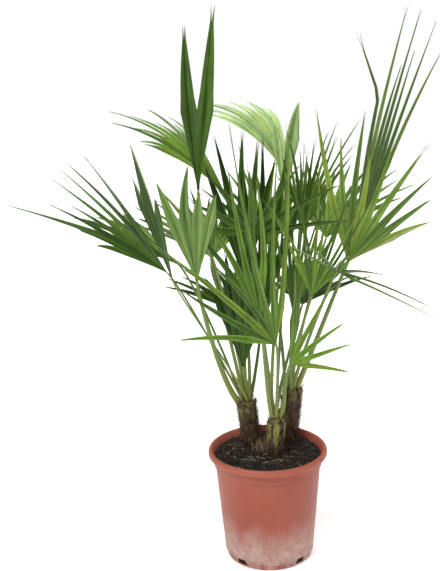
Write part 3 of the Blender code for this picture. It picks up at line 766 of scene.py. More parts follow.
def new_material(name, roughness, specular=0.5):
    mat = bpy.data.materials.new(name)
    mat.use_nodes = True
    tree = mat.node_tree
    bsdf = tree.nodes["Principled BSDF"]
    bsdf.inputs["Roughness"].default_value = roughness
    bsdf.inputs["Specular IOR Level"].default_value = specular
    return mat, tree, bsdf


def bump(tree, bsdf, height, strength, distance):
    made = node(tree, "ShaderNodeBump", in_Strength=strength, in_Distance=distance)
    tree.links.new(height, made.inputs["Height"])
    tree.links.new(made.outputs["Normal"], bsdf.inputs["Normal"])


def leaf_material(name, colour, roughness, veins, patches):
    found = bpy.data.materials.get(name)
    if found:
        return found
    mat, tree, bsdf = new_material(name, roughness, 0.20)
    group = grouped(tree, "Leaf Veins", leaf_vein_group, Colour=rgba(colour), Vein_Contrast=veins,
                    Patch_Contrast=patches)
    tree.links.new(group.outputs["Colour"], bsdf.inputs["Base Color"])
    bump(tree, bsdf, group.outputs["Height"], 0.35, 0.0006)
    return mat


def crumb_material(name, base, fleck, scale, share, roughness, strength, depth):
    found = bpy.data.materials.get(name)
    if found:
        return found
    mat, tree, bsdf = new_material(name, roughness, 0.25)
    group = grouped(tree, "Crumb Grain", crumb_group, Base=rgba(base), Fleck=rgba(fleck), Scale=scale,
                    Fleck_Share=share)
    tree.links.new(group.outputs["Colour"], bsdf.inputs["Base Color"])
    bump(tree, bsdf, group.outputs["Height"], strength, depth)
    return mat


def stalk_material():
    found = bpy.data.materials.get("stalk_skin")
    if found:
        return found
    c = colours()
    mat, tree, bsdf = new_material("stalk_skin", 0.42, 0.45)
    uv = node(tree, "ShaderNodeUVMap", uv_map="leaf")
    split = node(tree, "ShaderNodeSeparateXYZ")
    tree.links.new(uv.outputs["UV"], split.inputs[0])
    foot = ramp(tree, split.outputs["Y"], 0.02, 0.40, 1.0, 0.0)
    skin = mix_colour(tree, foot, rgba(c.stalk), rgba(c.stalk_base))
    streaks = noise(tree, stretched(tree, uv.outputs["UV"], (12.0, 1.2, 1.0)), 4.0, 2.0)
    shade = mix_colour(tree, ramp(tree, streaks, 0.45, 0.75, 0.0, 0.45), skin, (0.060, 0.110, 0.018, 1.0))
    tree.links.new(shade, bsdf.inputs["Base Color"])
    bump(tree, bsdf, streaks, 0.25, 0.0006)
    return mat


def pot_material():
    c = colours()
    mat, tree, bsdf = new_material("pot_plastic", 0.52, 0.22)
    place = node(tree, "ShaderNodeTexCoord").outputs["Object"]
    split = node(tree, "ShaderNodeSeparateXYZ")
    tree.links.new(place, split.inputs[0])
    height = split.outputs["Z"]
    # The lip takes the lighter rim colour, a painted highlight.
    rim = ramp(tree, height, POT_H - LIP_H - 0.003, POT_H - LIP_H + 0.001)
    body = mix_colour(tree, rim, rgba(c.pot), rgba(c.pot_rim_highlight))
    cloud = noise(tree, place, 9.0, 5.0, 0.62)
    body = mix_colour(tree, ramp(tree, cloud, 0.35, 0.70, 0.0, 0.35), body, (0.380, 0.130, 0.090, 1.0))
    streaks = noise(tree, stretched(tree, place, (1.0, 1.0, 0.18)), 38.0, 5.0, 0.65)
    level = node(tree, "ShaderNodeMath", operation="MULTIPLY_ADD")
    tree.links.new(streaks, level.inputs[0])
    level.inputs[1].default_value = 0.10
    tree.links.new(height, level.inputs[2])
    low = ramp(tree, level.outputs[0], 0.155, 0.085)
    foot = ramp(tree, level.outputs[0], 0.046, 0.072)
    mask = node(tree, "ShaderNodeMath", operation="MULTIPLY")
    tree.links.new(low, mask.inputs[0])
    tree.links.new(foot, mask.inputs[1])
    patchy = node(tree, "ShaderNodeMath", operation="MULTIPLY")
    tree.links.new(mask.outputs[0], patchy.inputs[0])
    tree.links.new(ramp(tree, noise(tree, place, 55.0, 6.0, 0.7), 0.30, 0.62, 0.35, 0.95), patchy.inputs[1])
    limed = mix_colour(tree, patchy.outputs[0], body, rgba(c.lime))
    tree.links.new(limed, bsdf.inputs["Base Color"])
    rough = ramp(tree, patchy.outputs[0], 0.0, 1.0, 0.46, 0.85)
    tree.links.new(rough, bsdf.inputs["Roughness"])
    bump(tree, bsdf, noise(tree, place, 420.0, 3.0), 0.12, 0.0004)
    return mat


# Meshes of the shown pieces


class Soup:
    """Collects points, faces, material numbers and leaf coordinates for one joined mesh."""

    def __init__(self):
        self.points = []
        self.faces = []
        self.mats = []
        self.uvs = []

    def loft(self, rings, face_mats, v_values, u_values, caps=True):
        """Joins closed rings of equal length one after another."""
        count = len(rings[0])
        start = len(self.points)
        for ring in rings:
            self.points.extend(tuple(p) for p in ring)
        for i in range(len(rings) - 1):
            lo = start + i * count
            hi = lo + count
            for k in range(count):
                n = (k + 1) % count
                self.faces.append((lo + k, lo + n, hi + n, hi + k))
                mats = face_mats[i] if isinstance(face_mats, list) else face_mats
                self.mats.append(mats[k] if isinstance(mats, tuple) else mats)
                u0, u1 = u_values[k], u_values[n]
                v0, v1 = v_values[i], v_values[i + 1]
                self.uvs.append(((u0, v0), (u1, v0), (u1, v1), (u0, v1)))
        if caps:
            for lo, order, row in ((start, -1, 0), (start + (len(rings) - 1) * count, 1, -1)):
                face = tuple(range(lo, lo + count))[::order]
                self.faces.append(face)
                mats = face_mats[row] if isinstance(face_mats, list) else face_mats
                self.mats.append(mats[0] if isinstance(mats, tuple) else mats)
                self.uvs.append(tuple((0.5, v_values[row]) for _ in face))

    def solid(self, points, faces, mat=0):
        start = len(self.points)
        self.points.extend(tuple(p) for p in points)
        for face in faces:
            self.faces.append(tuple(start + i for i in face))
            self.mats.append(mat)
            self.uvs.append(tuple((0.5, 0.5) for _ in face))

    def piece(self, name, materials, smooth=True):
        mesh = bpy.data.meshes.new(name)
        mesh.from_pydata(self.points, [], self.faces)
        for mat in materials:
            mesh.materials.append(mat)
        mesh.polygons.foreach_set("material_index", self.mats)
        mesh.polygons.foreach_set("use_smooth", [smooth] * len(self.faces))
        layer = mesh.uv_layers.new(name="leaf")
        layer.data.foreach_set("uv", [x for face in self.uvs for uv in face for x in uv])
        mesh.update()
        obj = bpy.data.objects.new(name, mesh)
        bpy.context.scene.collection.objects.link(obj)
        return obj


def hold(obj, slot, *nodes):
    """Rides on the plant's body and stands for its frame nodes. The slot argument is not used."""
    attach(obj, "root")
    if nodes:
        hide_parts(*nodes)
    return obj


def finger_strip(soup, spec, axes, index, choice, rng, share=(0.0, 1.0), reach=1.0):
    """One folded segment from the hub to its split tip, as two half strips that meet at the midrib.
    A wide finger is two segments, each with its share of the width."""
    count = len(spec["fingers"])
    whole = math.radians(spec["spread"]) / count
    step = whole * (share[1] - share[0])
    heart = -math.radians(spec["spread"]) / 2 + (index + 0.5) * whole
    middle = heart + whole * ((share[0] + share[1]) / 2 - 0.5)
    length = spec["fingers"][index]
    own = joined_radius(spec, length)
    lift, cut = choice
    end = own + (length * reach - own) * cut
    hub = np.array(spec["hub"])
    a, b, n = axes
    fold = sizes().fold
    split = 1.0 - sizes().tip_split * rng.uniform(0.25, 1.0)
    open_by = rng.uniform(0.0010, 0.0045)
    sway = rng.normal(0.0, 0.013) * (end - own) / 0.2
    sag = rng.uniform(0.0, 0.045)
    twist = rng.normal(0.0, 0.35)
    dry = rng.uniform(0.90, 0.99) if rng.random() < 0.55 else 2.0
    radii = list(np.linspace(0.0, own, JOINED_STEPS)[:-1]) + [own + (end - own) * q for q in FREE_STEPS]
    halves = {-1: [], 1: []}
    shade = 2 + int(soup.shades.choice(len(SHADES), p=SHARES.get(spec["tone"], SHARES["mid"])))
    mats = []
    for r in radii:
        q = max(0.0, (r - own) / (end - own))
        half_w = step / 2 * (r if r <= own else own * (1 - q**1.5) * (1 - NARROWER * min(1.0, q / 0.15)))
        heading = middle if r <= own else heart + (middle - heart) * (own / r) ** SPLAY
        centre = blade_point(spec, axes, max(r, 1e-4), heading)
        d = unit(blade_point(spec, axes, r + 0.004, middle) - blade_point(spec, axes, max(r, 1e-4), middle))
        ca, sa = math.cos(middle), math.sin(middle)
        flat = unit(-sa * a + ca * b)
        flat = unit(flat - (flat @ d) * d)
        up = unit(np.cross(flat, d))
        turn = twist * q * q
        side = math.cos(turn) * flat + math.sin(turn) * up
        rise = np.cross(side, d)
        p = max(0.0, (q - split) / (1 - split))
        centre = centre + n * lift * length * q * q + flat * sway * q**1.6
        centre = centre + np.array([0, 0, -1.0]) * sag * q * q * length
        if spec["kink"] and spec["kink"][0] == index and q > 0.6:
            centre = centre + np.array(spec["kink"][1]) * (q - 0.6) / 0.4
        blend = min(1.0, r / NECK_BLEND)
        blend = blend * blend * (3 - 2 * blend)
        for sign in (-1, 1):
            inner = open_by * p
            outer = half_w + open_by * p + 0.0002
            line = []
            for k in range(HALF_COLUMNS + 1):
                u = k / HALF_COLUMNS
                x = inner + (outer - inner) * u
                lift_up = fold * half_w * (u**0.9 - 0.5) + 0.0002
                if r <= own:
                    ang = middle + sign * step / 2 * u
                    base = blade_point(spec, axes, max(r, 1e-4), ang) + n * lift_up
                    at = (share[0] + share[1]) / 2 + sign * u * (share[1] - share[0]) / 2
                    neck = hub + a * GAP + b * spec["stalk"][1] * ((index + at) / count - 0.5)
                    base = neck * (1 - blend) + base * blend
                else:
                    base = centre + side * sign * x + rise * lift_up
                line.append(base)
            halves[sign].append((line, rise if r > own else n))
        mats.append(1 if q > dry else None)
    for sign, rows in halves.items():
        rings = []
        face_mats = []
        for (line, normal), mat in zip(rows, mats):
            thick = normal * BLADE_SHOWN_T / 2
            top = [p + thick for p in line]
            low = [p - thick for p in line]
            ring = top + low[::-1]
            rings.append(ring if sign > 0 else ring[::-1])
            upper, lower = (shade, 0) if mat is None else (1, 1)
            kinds = [upper] * HALF_COLUMNS + [lower] + [lower] * HALF_COLUMNS + [upper]
            if sign < 0:
                kinds = [lower] * HALF_COLUMNS + [upper] + [upper] * HALF_COLUMNS + [lower]
            face_mats.append(tuple(kinds))
        us = [k / HALF_COLUMNS * sign for k in range(HALF_COLUMNS + 1)]
        us = us + us[::-1]
        if sign < 0:
            us = us[::-1]
        us = [index + 0.5 + u / 2 for u in us]
        vs = [r * 8.0 + index * 3.1 for r in radii]
        soup.loft(rings, face_mats, vs, us)


def tube(soup, path, halves, wide_hint, sides, flat=1.0, mat=0, groove=0.0):
    """A tube of changing width along a path, flattened by a factor."""
    rings = []
    for i, p in enumerate(path):
        along = unit(path[min(i + 1, len(path) - 1)] - path[max(i - 1, 0)])
        wide = unit(wide_hint - (wide_hint @ along) * along)
        thick = np.cross(along, wide)
        ring = []
        for k in range(sides):
            ang = 2 * math.pi * k / sides
            dent = 1 - groove * max(0.0, math.sin(ang)) ** 6
            ring.append(p + halves[i] * (math.cos(ang) * wide + flat * dent * math.sin(ang) * thick))
        rings.append(ring)
    us = [k / sides for k in range(sides)]
    vs = list(np.linspace(0.0, 1.0, len(path)))
    soup.loft(rings, mat, vs, us)


def cone(soup, foot, tip, radius, mat=0, sides=5):
    along = unit(tip - foot)
    wide = unit(np.cross(along, (0.31, 0.42, 0.85)))
    other = np.cross(along, wide)
    ring = [foot + radius * (math.cos(t) * wide + math.sin(t) * other)
            for t in (2 * math.pi * k / sides for k in range(sides))]
    faces = [(k, (k + 1) % sides, sides) for k in range(sides)] + [tuple(range(sides))[::-1]]
    soup.solid(ring + [tip], faces, mat)


def make_blade(entry, seed):
    spec, axes, choices, _, _ = entry
    rng = np.random.default_rng(seed)
    soup = Soup()
    soup.shades = np.random.default_rng(500 + seed)
    for index, length in enumerate(spec["fingers"]):
        base_width = math.radians(spec["spread"]) / len(spec["fingers"]) * joined_radius(spec, length)
        if spec["name"] in SINGLE or (base_width < WIDE_FINGER and spec["name"] not in DOUBLED):
            finger_strip(soup, spec, axes, index, choices[index], rng)
            continue
        cut_at = rng.uniform(0.42, 0.58)
        reaches = rng.permutation([1.0, rng.uniform(0.78, 0.96)])
        finger_strip(soup, spec, axes, index, choices[index], rng, (0.0, cut_at), reaches[0])
        finger_strip(soup, spec, axes, index, choices[index], rng, (cut_at, 1.0), reaches[1])
    c = colours()
    tone = spec["tone"]
    look = LOOKS.get(spec["name"], tone)
    base = np.array(getattr(c, f"leaf_{look}"))
    uppers = [leaf_material(f"leaf_{look}_{label}", base * np.array(factor), 0.32, 0.75, 0.60)
              for label, factor in SHADES.items()]
    lower = leaf_material("leaf_underside", c.underside, 0.55, 0.25, 0.15)
    # Pale leaves keep the painted backlight colour on their underside too.
    if look == "pale":
        lower = leaf_material("leaf_pale_backlit_under", c.leaf_pale, 0.55, 0.25, 0.12)
    dry = leaf_material("leaf_dry_tip", c.dry_tip, 0.8, 0.3, 0.4)
    obj = soup.piece(f"blade_{spec['name']}", [lower, dry, *uppers])
    return hold(obj, f"leaf_{tone}", f"fan_{spec['name']}")


def make_stalk(entry, seed):
    spec, _, _, start, direction = entry
    rng = np.random.default_rng(1000 + seed)
    axes = fan_axes(spec)
    path = stalk_path(spec, axes, start, direction, STALK_SHOWN_RINGS)
    w0, w1 = spec["stalk"]
    ts = np.linspace(0.0, 1.0, STALK_SHOWN_RINGS)
    halves = [(w0 + (w1 - w0) * t**0.8) / 2 * (1 + 0.25 * math.exp(-t / 0.05)) for t in ts]
    halves[-1] = halves[-2] * 0.9
    soup = Soup()
    tube(soup, path, halves, axes[1], STALK_SHOWN_SIDES, STALK_FLAT, 0, groove=0.35)
    spiny = 0.030 if spec["name"] in ("left_face", "right_fan") else 0.045
    run = float(np.linalg.norm(path[-1] - path[0]))
    at = 0.06
    while at < 0.93:
        i = int(at * (STALK_SHOWN_RINGS - 1))
        along = unit(path[i + 1] - path[i])
        wide = unit(axes[1] - (axes[1] @ along) * along)
        sign = 1 if rng.random() < 0.5 else -1
        foot = path[i] + wide * sign * halves[i] * 0.9
        size = sizes().spine * rng.uniform(0.5, 1.2)
        cone(soup, foot, foot + wide * sign * size + along * size * 0.7, 0.0009, 1)
        at += spiny / run * rng.uniform(0.6, 1.4)
    c = colours()
    spine_mat = leaf_material("spine", c.stalk_base, 0.5, 0.1, 0.5)
    obj = soup.piece(f"leafstalk_{spec['name']}", [stalk_material(), spine_mat])
    return hold(obj, "stalk", f"stalk_{spec['name']}")


def around(ang):
    """The level direction outwards at an angle and the one across it."""
    out = np.array([math.cos(ang), math.sin(ang), 0.0])
    return out, np.array([-out[1], out[0], 0.0])


def make_stem(name, seed):
    """The stem's own bulk with relief, wrapped in old leaf bases, torn fibre sheaths and a few cut stubs."""
    rng = np.random.default_rng(2000 + seed)
    spec = STEMS[name]
    foot = np.array([*spec["foot"], SOIL_Z - 0.003])
    crown = np.array(spec["crown"])
    r0 = spec["radius"]
    soup = Soup()
    rings = []
    for i in range(STEM_SHOWN_RINGS):
        t = i / (STEM_SHOWN_RINGS - 1)
        if t < DOME_START:
            h = t / DOME_START
            centre = foot + h * (crown - foot)
            radius = r0 * (1 + STEM_FLARE * math.exp(-h / 0.10) - 0.10 * math.sin(math.pi * h))
        else:
            ang = (t - DOME_START) / (1 - DOME_START) * math.pi / 2
            h = 1.0
            centre = crown + np.array([0, 0, r0 * DOME_FLATTEN * math.sin(ang)])
            radius = max(r0 * math.cos(ang), 0.0006)
        ring = []
        for k in range(STEM_SHOWN_SIDES):
            ang = 2 * math.pi * k / STEM_SHOWN_SIDES
            scale = 1 + 0.05 * math.sin(3 * ang + 9 * h) + 0.05 * math.sin(8 * ang + 40 * h)
            scale += rng.normal(0, 0.012)
            step_out = 0.07 * ((h * RELIEF_TURNS + ang / (2 * math.pi)) % 1.0)
            ring.append(centre + radius * (scale - step_out) * np.array([math.cos(ang), math.sin(ang), 0.0]))
        rings.append(ring)
    us = [k / STEM_SHOWN_SIDES for k in range(STEM_SHOWN_SIDES)]
    soup.loft(rings, 0, list(np.linspace(0, 1, STEM_SHOWN_RINGS)), us)
    span = crown - foot
    for k in range(OLD_BASES):
        h = 0.10 + 0.88 * k / OLD_BASES
        ang = k * OLD_BASE_TURN + rng.uniform(-0.2, 0.2)
        out, side = around(ang)
        base = foot + span * h + out * r0 * 0.86
        tall = rng.uniform(*OLD_BASE_TALL)
        wide = r0 * rng.uniform(*OLD_BASE_WIDE)
        lean = out * 0.25 + np.array([0, 0, 1.0])
        path = [base + lean * tall * s for s in (0.0, 0.35, 0.7, 1.0)]
        widths = [wide, wide * 0.92, wide * 0.72, wide * rng.uniform(0.30, 0.6)]
        tube(soup, np.array(path), widths, side, 10, 0.30, 2 if k % 11 == 3 else 1)
    for own in (e for e in layout() if e[0]["stem"] == name):
        start = own[3]
        lean = start[:2] - crown[:2]
        ang = math.atan2(lean[1], lean[0])
        out, side = around(ang)
        low = rng.uniform(*SHEATH_FOOT[name])
        path = [start - np.array([0, 0, 0.002]), crown + out * r0 * 0.93 + np.array([0, 0, r0 * 0.25])]
        swell = SHEATH_SWELL[name]
        path += [foot + span * h + out * r0 * f * swell
                 for h, f in ((0.92, 0.99), ((0.92 + low) / 2, 0.97), (low, 0.86))]
        widths = [0.0048, 0.0058 * swell, 0.0058 * swell, 0.0048 * swell, 0.0018]
        tube(soup, np.array(path), widths, side, 10, 0.34, 2)
    for k in range(round(sizes().fibres * FIBRE_SHARE[name])):
        h = rng.uniform(0.02, 1.05)
        ang = rng.uniform(0, 2 * math.pi)
        out, side = around(ang)
        base = foot + span * min(h, 1.0) + out * r0 * rng.uniform(0.92, 1.12)
        long = rng.uniform(*FIBRE_LONG)
        drift = side * rng.normal(0, 0.55) + np.array([0, 0, 1.0]) + out * rng.uniform(-0.12, 0.50)
        tip = base + unit(drift) * long
        tip[2] = min(tip[2], crown[2] + r0 * DOME_FLATTEN + 0.008)
        mid = (base + tip) / 2 + out * rng.uniform(0.0, 0.0015)
        w = rng.uniform(*FIBRE_HALF_W)
        soup.solid([base - side * w, base + side * w, mid + side * w, mid - side * w, tip],
                   [(0, 1, 2, 3), (3, 2, 4)], int(rng.choice([0, 1, 3], p=(0.25, 0.45, 0.30))))
    for _ in range(SPURS):
        out, _ = around(rng.uniform(0, 2 * math.pi))
        start = foot + span * rng.uniform(0.25, 0.95) + out * r0 * 0.95
        tip = start + out * rng.uniform(0.004, 0.008) + np.array([0, 0, rng.uniform(0.002, 0.006)])
        cone(soup, start, tip, SPUR_R, 1)
    c = colours()
    # The bulk is mostly the dark colour, painted shade for the hollows between the fibres.
    bulk = crumb_material("stem_bulk", c.fibre_dark_and_shade, c.fibre, 240.0, 0.8, 0.95, 0.9, 0.002)
    fibre = crumb_material("stem_fibre", c.fibre, c.fibre_dark_and_shade, 300.0, 0.7, 0.9, 0.7, 0.001)
    stub = crumb_material("stem_stub", c.stalk_base, c.fibre, 420.0, STUB_BROWN[name], 0.7, 0.4, 0.001)
    pale = crumb_material("stem_pale_fibre", (0.260, 0.165, 0.090), c.fibre, 200.0, 0.5, 0.9, 0.3, 0.001)
    obj = soup.piece(f"fibre_stem_{name}", [bulk, fibre, stub, pale], smooth=False)
    return hold(obj, "stem_fibre", f"stem_{name}")


def torn_fibres(soup, rng):
    """A low tangle of torn fibres between the left and the middle stem."""
    for _ in range(TANGLE_COUNT):
        spot = np.array(TANGLE_PLACE) + rng.normal(0, TANGLE_SPREAD, 2)
        base = np.array([*spot, SOIL_Z + 0.0005])
        tip = base + np.array([rng.normal(0, 0.012), rng.normal(0, 0.012), rng.uniform(0.002, 0.026)])
        side = unit(np.cross(tip - base, (0.3, 0.8, 0.5))) * rng.uniform(0.0002, 0.0005)
        mid = (base + tip) / 2 + rng.normal(0, 0.002, 3)
        mid[2] = max(mid[2], base[2])
        soup.solid([base - side, base + side, mid + side, mid - side, tip], [(0, 1, 2, 3), (3, 2, 4)],
                   int(rng.integers(2)))


def soil_height(x, y):
    """Unevenness of the soil: soft heaps and finer lumps."""
    wave = math.sin(71 * x + 1.3) * math.cos(63 * y - 0.7) + 0.6 * math.sin(157 * x - 90 * y) \
        + 0.5 * math.cos(240 * y + 110 * x + 2.0) + 0.35 * math.sin(410 * x + 2) * math.sin(380 * y)
    return sizes().soil_relief * 0.28 * wave


def make_soil():
    rng = np.random.default_rng(31)
    make_soil_bed(rng)
    make_crumbs(rng)
    make_rootlets(rng)


def make_soil_bed(rng):
    """The soil's uneven surface over a narrower foot inside the pot."""
    edge = SOIL_SHOWN_R
    soup = Soup()
    rings_n, sides = SOIL_RINGS, SOIL_SIDES
    points = [(0.0, 0.0, SOIL_Z + 0.0015)]
    for i in range(1, rings_n + 1):
        r = edge * i / rings_n
        for k in range(sides):
            ang = 2 * math.pi * (k + 0.5 * (i % 2)) / sides
            x, y = r * math.cos(ang), r * math.sin(ang)
            fade = min(1.0, (rings_n - i) / 6 + 0.3)
            z = SOIL_Z + soil_height(x, y) * fade + rng.normal(0, 0.0006) * fade
            points.append((x, y, z))
    faces = [(0, 1 + k, 1 + (k + 1) % sides) for k in range(sides)]
    for i in range(rings_n - 1):
        lo = 1 + i * sides
        hi = lo + sides
        for k in range(sides):
            n = (k + 1) % sides
            faces.append((lo + k, hi + k, hi + n, lo + n))
    last = 1 + (rings_n - 1) * sides
    floor_z = FLOOR_T + 0.001
    base = len(points)
    for k in range(sides):
        x, y, z = points[last + k]
        points.append((x * 0.80, y * 0.80, floor_z))
    for k in range(sides):
        n = (k + 1) % sides
        faces.append((last + k, base + k, base + n, last + n))
    faces.append(tuple(base + k for k in range(sides))[::-1])
    soup.solid(points, faces)
    c = colours()
    mat = crumb_material("soil_surface", c.soil, c.soil_light, 210.0, 0.45, 0.95, 1.0, 0.004)
    hold(soup.piece("soil_bed", [mat]), "soil", "soil")


def make_crumbs(rng):
    """Dark, brown and light crumbs lying on the soil."""
    c = colours()
    bits = Soup()
    for _ in range(sizes().crumbs):
        r = SOIL_SHOWN_R * math.sqrt(rng.uniform(0, 1)) * 0.985
        ang = rng.uniform(0, 2 * math.pi)
        x, y = r * math.cos(ang), r * math.sin(ang)
        size = rng.uniform(0.0006, 0.0022) if rng.random() < 0.85 else rng.uniform(0.002, 0.0042)
        centre = np.array([x, y, SOIL_Z + soil_height(x, y) + size * 0.35])
        corners = []
        for d in ((1, 0, 0), (-1, 0, 0), (0, 1, 0), (0, -1, 0), (0, 0, 1), (0, 0, -1)):
            corner = centre + np.array(d) * size * rng.uniform(0.55, 1.2)
            corners.append(corner + rng.normal(0, size * 0.12, 3))
        octa = [(0, 2, 4), (2, 1, 4), (1, 3, 4), (3, 0, 4), (2, 0, 5), (1, 2, 5), (3, 1, 5), (0, 3, 5)]
        bits.solid(corners, octa, int(rng.choice(3, p=(0.62, 0.32, 0.06))))
    dark = crumb_material("crumb_dark", c.soil, c.soil_light, 500.0, 0.2, 0.95, 0.5, 0.001)
    brown = crumb_material("crumb_brown", (0.060, 0.036, 0.022), c.soil, 400.0, 0.6, 0.95, 0.5, 0.001)
    light = crumb_material("crumb_light", c.soil_light, (0.10, 0.07, 0.05), 300.0, 0.8, 0.9, 0.5, 0.001)
    hold(bits.piece("soil_crumbs", [dark, brown, light], smooth=False), "soil")


def make_rootlets(rng):
    """Fine rootlets that wander over the soil from the stems, and a tangle of torn fibres."""
    c = colours()
    roots = Soup()
    for _ in range(ROOTLETS):
        home = np.array(list(STEMS.values())[int(rng.integers(3))]["foot"])
        ang = rng.uniform(0, 2 * math.pi)
        start = home + rng.uniform(0.010, 0.060) * np.array([math.cos(ang), math.sin(ang)])
        heading = rng.uniform(0, 2 * math.pi)
        path = []
        for _ in range(6):
            if np.hypot(*start) > SOIL_SHOWN_R - 0.004:
                break
            path.append(np.array([*start, SOIL_Z + soil_height(*start) + 0.0007 + rng.uniform(0, 0.0012)]))
            heading += rng.normal(0, 0.45)
            start = start + rng.uniform(0.003, 0.006) * np.array([math.cos(heading), math.sin(heading)])
        if len(path) > 2:
            thick = rng.uniform(*ROOTLET_R)
            tube(roots, np.array(path), [thick] * len(path), np.array([0.1, 0.2, 1.0]), 5, 1.0,
                 int(rng.integers(2)))
    torn_fibres(roots, rng)
    brown = (0.16, 0.095, 0.055)
    root_brown = crumb_material("rootlet_brown", brown, c.fibre_dark_and_shade, 300.0, 0.5, 0.9, 0.3, 0.001)
    root_pale = crumb_material("rootlet_pale", (0.34, 0.26, 0.18), c.fibre, 300.0, 0.5, 0.9, 0.3, 0.001)
    hold(roots.piece("soil_rootlets", [root_brown, root_pale], smooth=False), "soil")


def make_pot():
    """The pot's shell, with softer edges on the lip and drain notches cut through the foot of the wall."""
    verts, faces = revolve(pot_profile(), POT_SHOWN_SIDES)
    soup = Soup()
    soup.solid(verts, faces)
    obj = soup.piece("nursery_pot", [pot_material()])
    cutters = []
    for k, angle in enumerate(DRAIN_ANGLES):
        a = math.radians(angle)
        mesh = bpy.data.meshes.new(f"drain_tool_{k}")
        half = np.array([DRAIN_W / 2, 0.008, DRAIN_H / 2])
        corners = [tuple(half * (x, y, z)) for x in (-1, 1) for y in (-1, 1) for z in (-1, 1)]
        quads = [(0, 1, 3, 2), (4, 6, 7, 5), (0, 4, 5, 1), (2, 3, 7, 6), (0, 2, 6, 4), (1, 5, 7, 3)]
        mesh.from_pydata(corners, [], quads)
        cutter = bpy.data.objects.new(f"drain_tool_{k}", mesh)
        cutter.location = (math.sin(a) * FOOT_R, -math.cos(a) * FOOT_R, FLOOR_T + 0.0015 + DRAIN_H / 2)
        cutter.rotation_euler = (0.0, 0.0, a)
        bpy.context.scene.collection.objects.link(cutter)
        cut = obj.modifiers.new(f"drain_{k}", "BOOLEAN")
        cut.operation = "DIFFERENCE"
        cut.solver = "EXACT"
        cut.object = cutter
        cutters.append(cutter)
    edge = obj.modifiers.new("edge", "BEVEL")
    edge.width = 0.0005
    edge.segments = 2
    edge.limit_method = "ANGLE"
    edge.angle_limit = math.radians(50)
    bpy.context.view_layer.update()
    graph = bpy.context.evaluated_depsgraph_get()
    mesh = bpy.data.meshes.new_from_object(obj.evaluated_get(graph))
    obj.modifiers.clear()
    obj.data = mesh
    for cutter in cutters:
        bpy.data.objects.remove(cutter, do_unlink=True)
    mesh.polygons.foreach_set("use_smooth", [True] * len(mesh.polygons))
    mesh.set_sharp_from_angle(angle=math.radians(35))
    hold(obj, "pot_plastic", "pot")


def make_stage():
    """A pale floor, soft studio light and the photograph's camera."""
    mesh = bpy.data.meshes.new("studio_floor")
    half = FLOOR_HALF
    corners = [(-half, -half, 0), (half, -half, 0), (half, half, 0), (-half, half, 0)]
    mesh.from_pydata(corners, [], [(0, 1, 2, 3)])
    floor = bpy.data.objects.new("studio_floor", mesh)
    floor.location = (0.0, 0.0, -0.0005)
    mat, tree, bsdf = new_material("floor_paper", 0.9, 0.1)
    bsdf.inputs["Base Color"].default_value = (0.90, 0.90, 0.90, 1.0)
    bsdf.inputs["Emission Color"].default_value = (1.0, 1.0, 1.0, 1.0)
    away = node(tree, "ShaderNodeVectorMath", operation="LENGTH")
    tree.links.new(node(tree, "ShaderNodeTexCoord").outputs["Object"], away.inputs[0])
    tree.links.new(ramp(tree, away.outputs["Value"], 0.4, 2.6, 0.36, 0.95), bsdf.inputs["Emission Strength"])
    mesh.materials.append(mat)
    bpy.context.scene.collection.objects.link(floor)
    scene = bpy.context.scene
    world = bpy.data.worlds.new("studio")
    world.use_nodes = True
    tree = world.node_tree
    sky = tree.nodes["Background"]
    sky.inputs["Color"].default_value = (1.0, 1.0, 1.0, 1.0)
    seen = node(tree, "ShaderNodeLightPath").outputs["Is Camera Ray"]
    tree.links.new(ramp(tree, seen, 0.0, 1.0, 0.46, 1.0), sky.inputs["Strength"])
    scene.world = world
    for name, place, size, power in (
        ("key", (-1.3, -2.2, 3.2), 1.2, 104.0),
        ("fill", (2.4, -1.6, 1.8), 2.0, 14.0),
        ("top", (0.4, 0.9, 3.2), 1.2, 62.0),
    ):
        light = bpy.data.lights.new(name, "AREA")
        light.shape = "DISK"
        light.size = size
        light.energy = power
        lamp = bpy.data.objects.new(name, light)
        lamp.location = place
        lamp.rotation_euler = (Vector((0.0, 0.0, 0.6)) - Vector(place)).to_track_quat("-Z", "Y").to_euler()
        scene.collection.objects.link(lamp)
    camera = bpy.data.cameras.new("photo_camera")
    camera.lens = CAMERA_LENS
    camera.sensor_width = 36.0
    camera.sensor_fit = "AUTO"
    shot = bpy.data.objects.new("photo_camera", camera)
    pitch = math.radians(90.0 - CAMERA_PITCH)
    shot.matrix_world = (Matrix.Translation(CAMERA_PLACE) @ Matrix.Rotation(pitch, 4, "X")
                         @ Matrix.Rotation(math.radians(-CAMERA_ROLL), 4, "Z"))
    scene.collection.objects.link(shot)
    scene.camera = shot
    scene.view_settings.view_transform = "Standard"


class PALM_OT_pot(bpy.types.Operator):
    """Build the nursery pot"""

    bl_idname = "palm.pot"
    bl_label = "Pot"

    def execute(self, context):
        make_pot()
        return {"FINISHED"}


class PALM_OT_soil(bpy.types.Operator):
    """Build the soil with its crumbs and rootlets"""

    bl_idname = "palm.soil"
    bl_label = "Soil"

    def execute(self, context):
        make_soil()
        return {"FINISHED"}


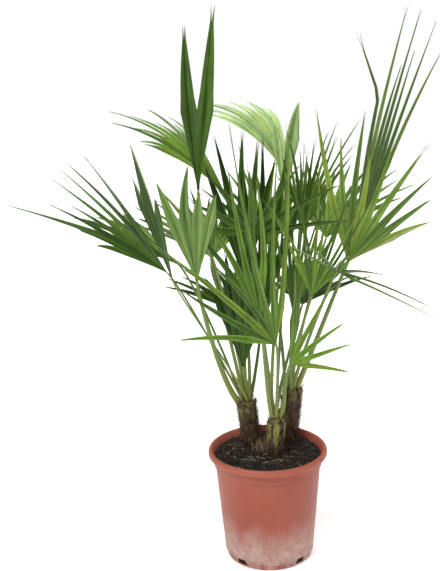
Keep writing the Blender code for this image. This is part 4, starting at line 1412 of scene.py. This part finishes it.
class PALM_OT_stems(bpy.types.Operator):
    """Build the fibrous stems"""

    bl_idname = "palm.stems"
    bl_label = "Stems"

    def execute(self, context):
        for seed, name in enumerate(STEMS):
            make_stem(name, seed)
        return {"FINISHED"}


class PALM_OT_stalks(bpy.types.Operator):
    """Build the spiny leaf stalks"""

    bl_idname = "palm.stalks"
    bl_label = "Leaf stalks"

    def execute(self, context):
        for seed, entry in enumerate(layout()):
            make_stalk(entry, seed)
        return {"FINISHED"}


class PALM_OT_blades(bpy.types.Operator):
    """Build the folded fan blades"""

    bl_idname = "palm.blades"
    bl_label = "Fan blades"

    def execute(self, context):
        for seed, entry in enumerate(layout()):
            make_blade(entry, seed)
        return {"FINISHED"}


class PALM_OT_stage(bpy.types.Operator):
    """Set the floor, the light and the camera"""

    bl_idname = "palm.stage"
    bl_label = "Stage"

    def execute(self, context):
        make_stage()
        return {"FINISHED"}


class PALM_PT_panel(bpy.types.Panel):
    """Sizes, colours and build buttons of the fan palm"""

    bl_label = "Fan Palm"
    bl_idname = "PALM_PT_panel"
    bl_space_type = "VIEW_3D"
    bl_region_type = "UI"
    bl_category = "Fan Palm"

    def draw(self, context):
        layout_ui = self.layout
        for group in (context.scene.palm_sizes, context.scene.palm_colours):
            box = layout_ui.box()
            for key in group.__annotations__:
                box.prop(group, key)
        for operator in OPERATORS:
            layout_ui.operator(operator.bl_idname)


OPERATORS = (PALM_OT_pot, PALM_OT_soil, PALM_OT_stems, PALM_OT_stalks, PALM_OT_blades, PALM_OT_stage)
CLASSES = (PalmSizes, PalmColours, *OPERATORS, PALM_PT_panel)


def register():
    for cls in CLASSES:
        bpy.utils.register_class(cls)
    bpy.types.Scene.palm_sizes = bpy.props.PointerProperty(type=PalmSizes)
    bpy.types.Scene.palm_colours = bpy.props.PointerProperty(type=PalmColours)


def unregister():
    del bpy.types.Scene.palm_colours
    del bpy.types.Scene.palm_sizes
    for cls in reversed(CLASSES):
        bpy.utils.unregister_class(cls)


def main():
    register()
    bpy.ops.palm.pot()
    bpy.ops.palm.soil()
    bpy.ops.palm.stems()
    bpy.ops.palm.stalks()
    bpy.ops.palm.blades()
    bpy.ops.palm.stage()


if __name__ == "__main__":
    main()
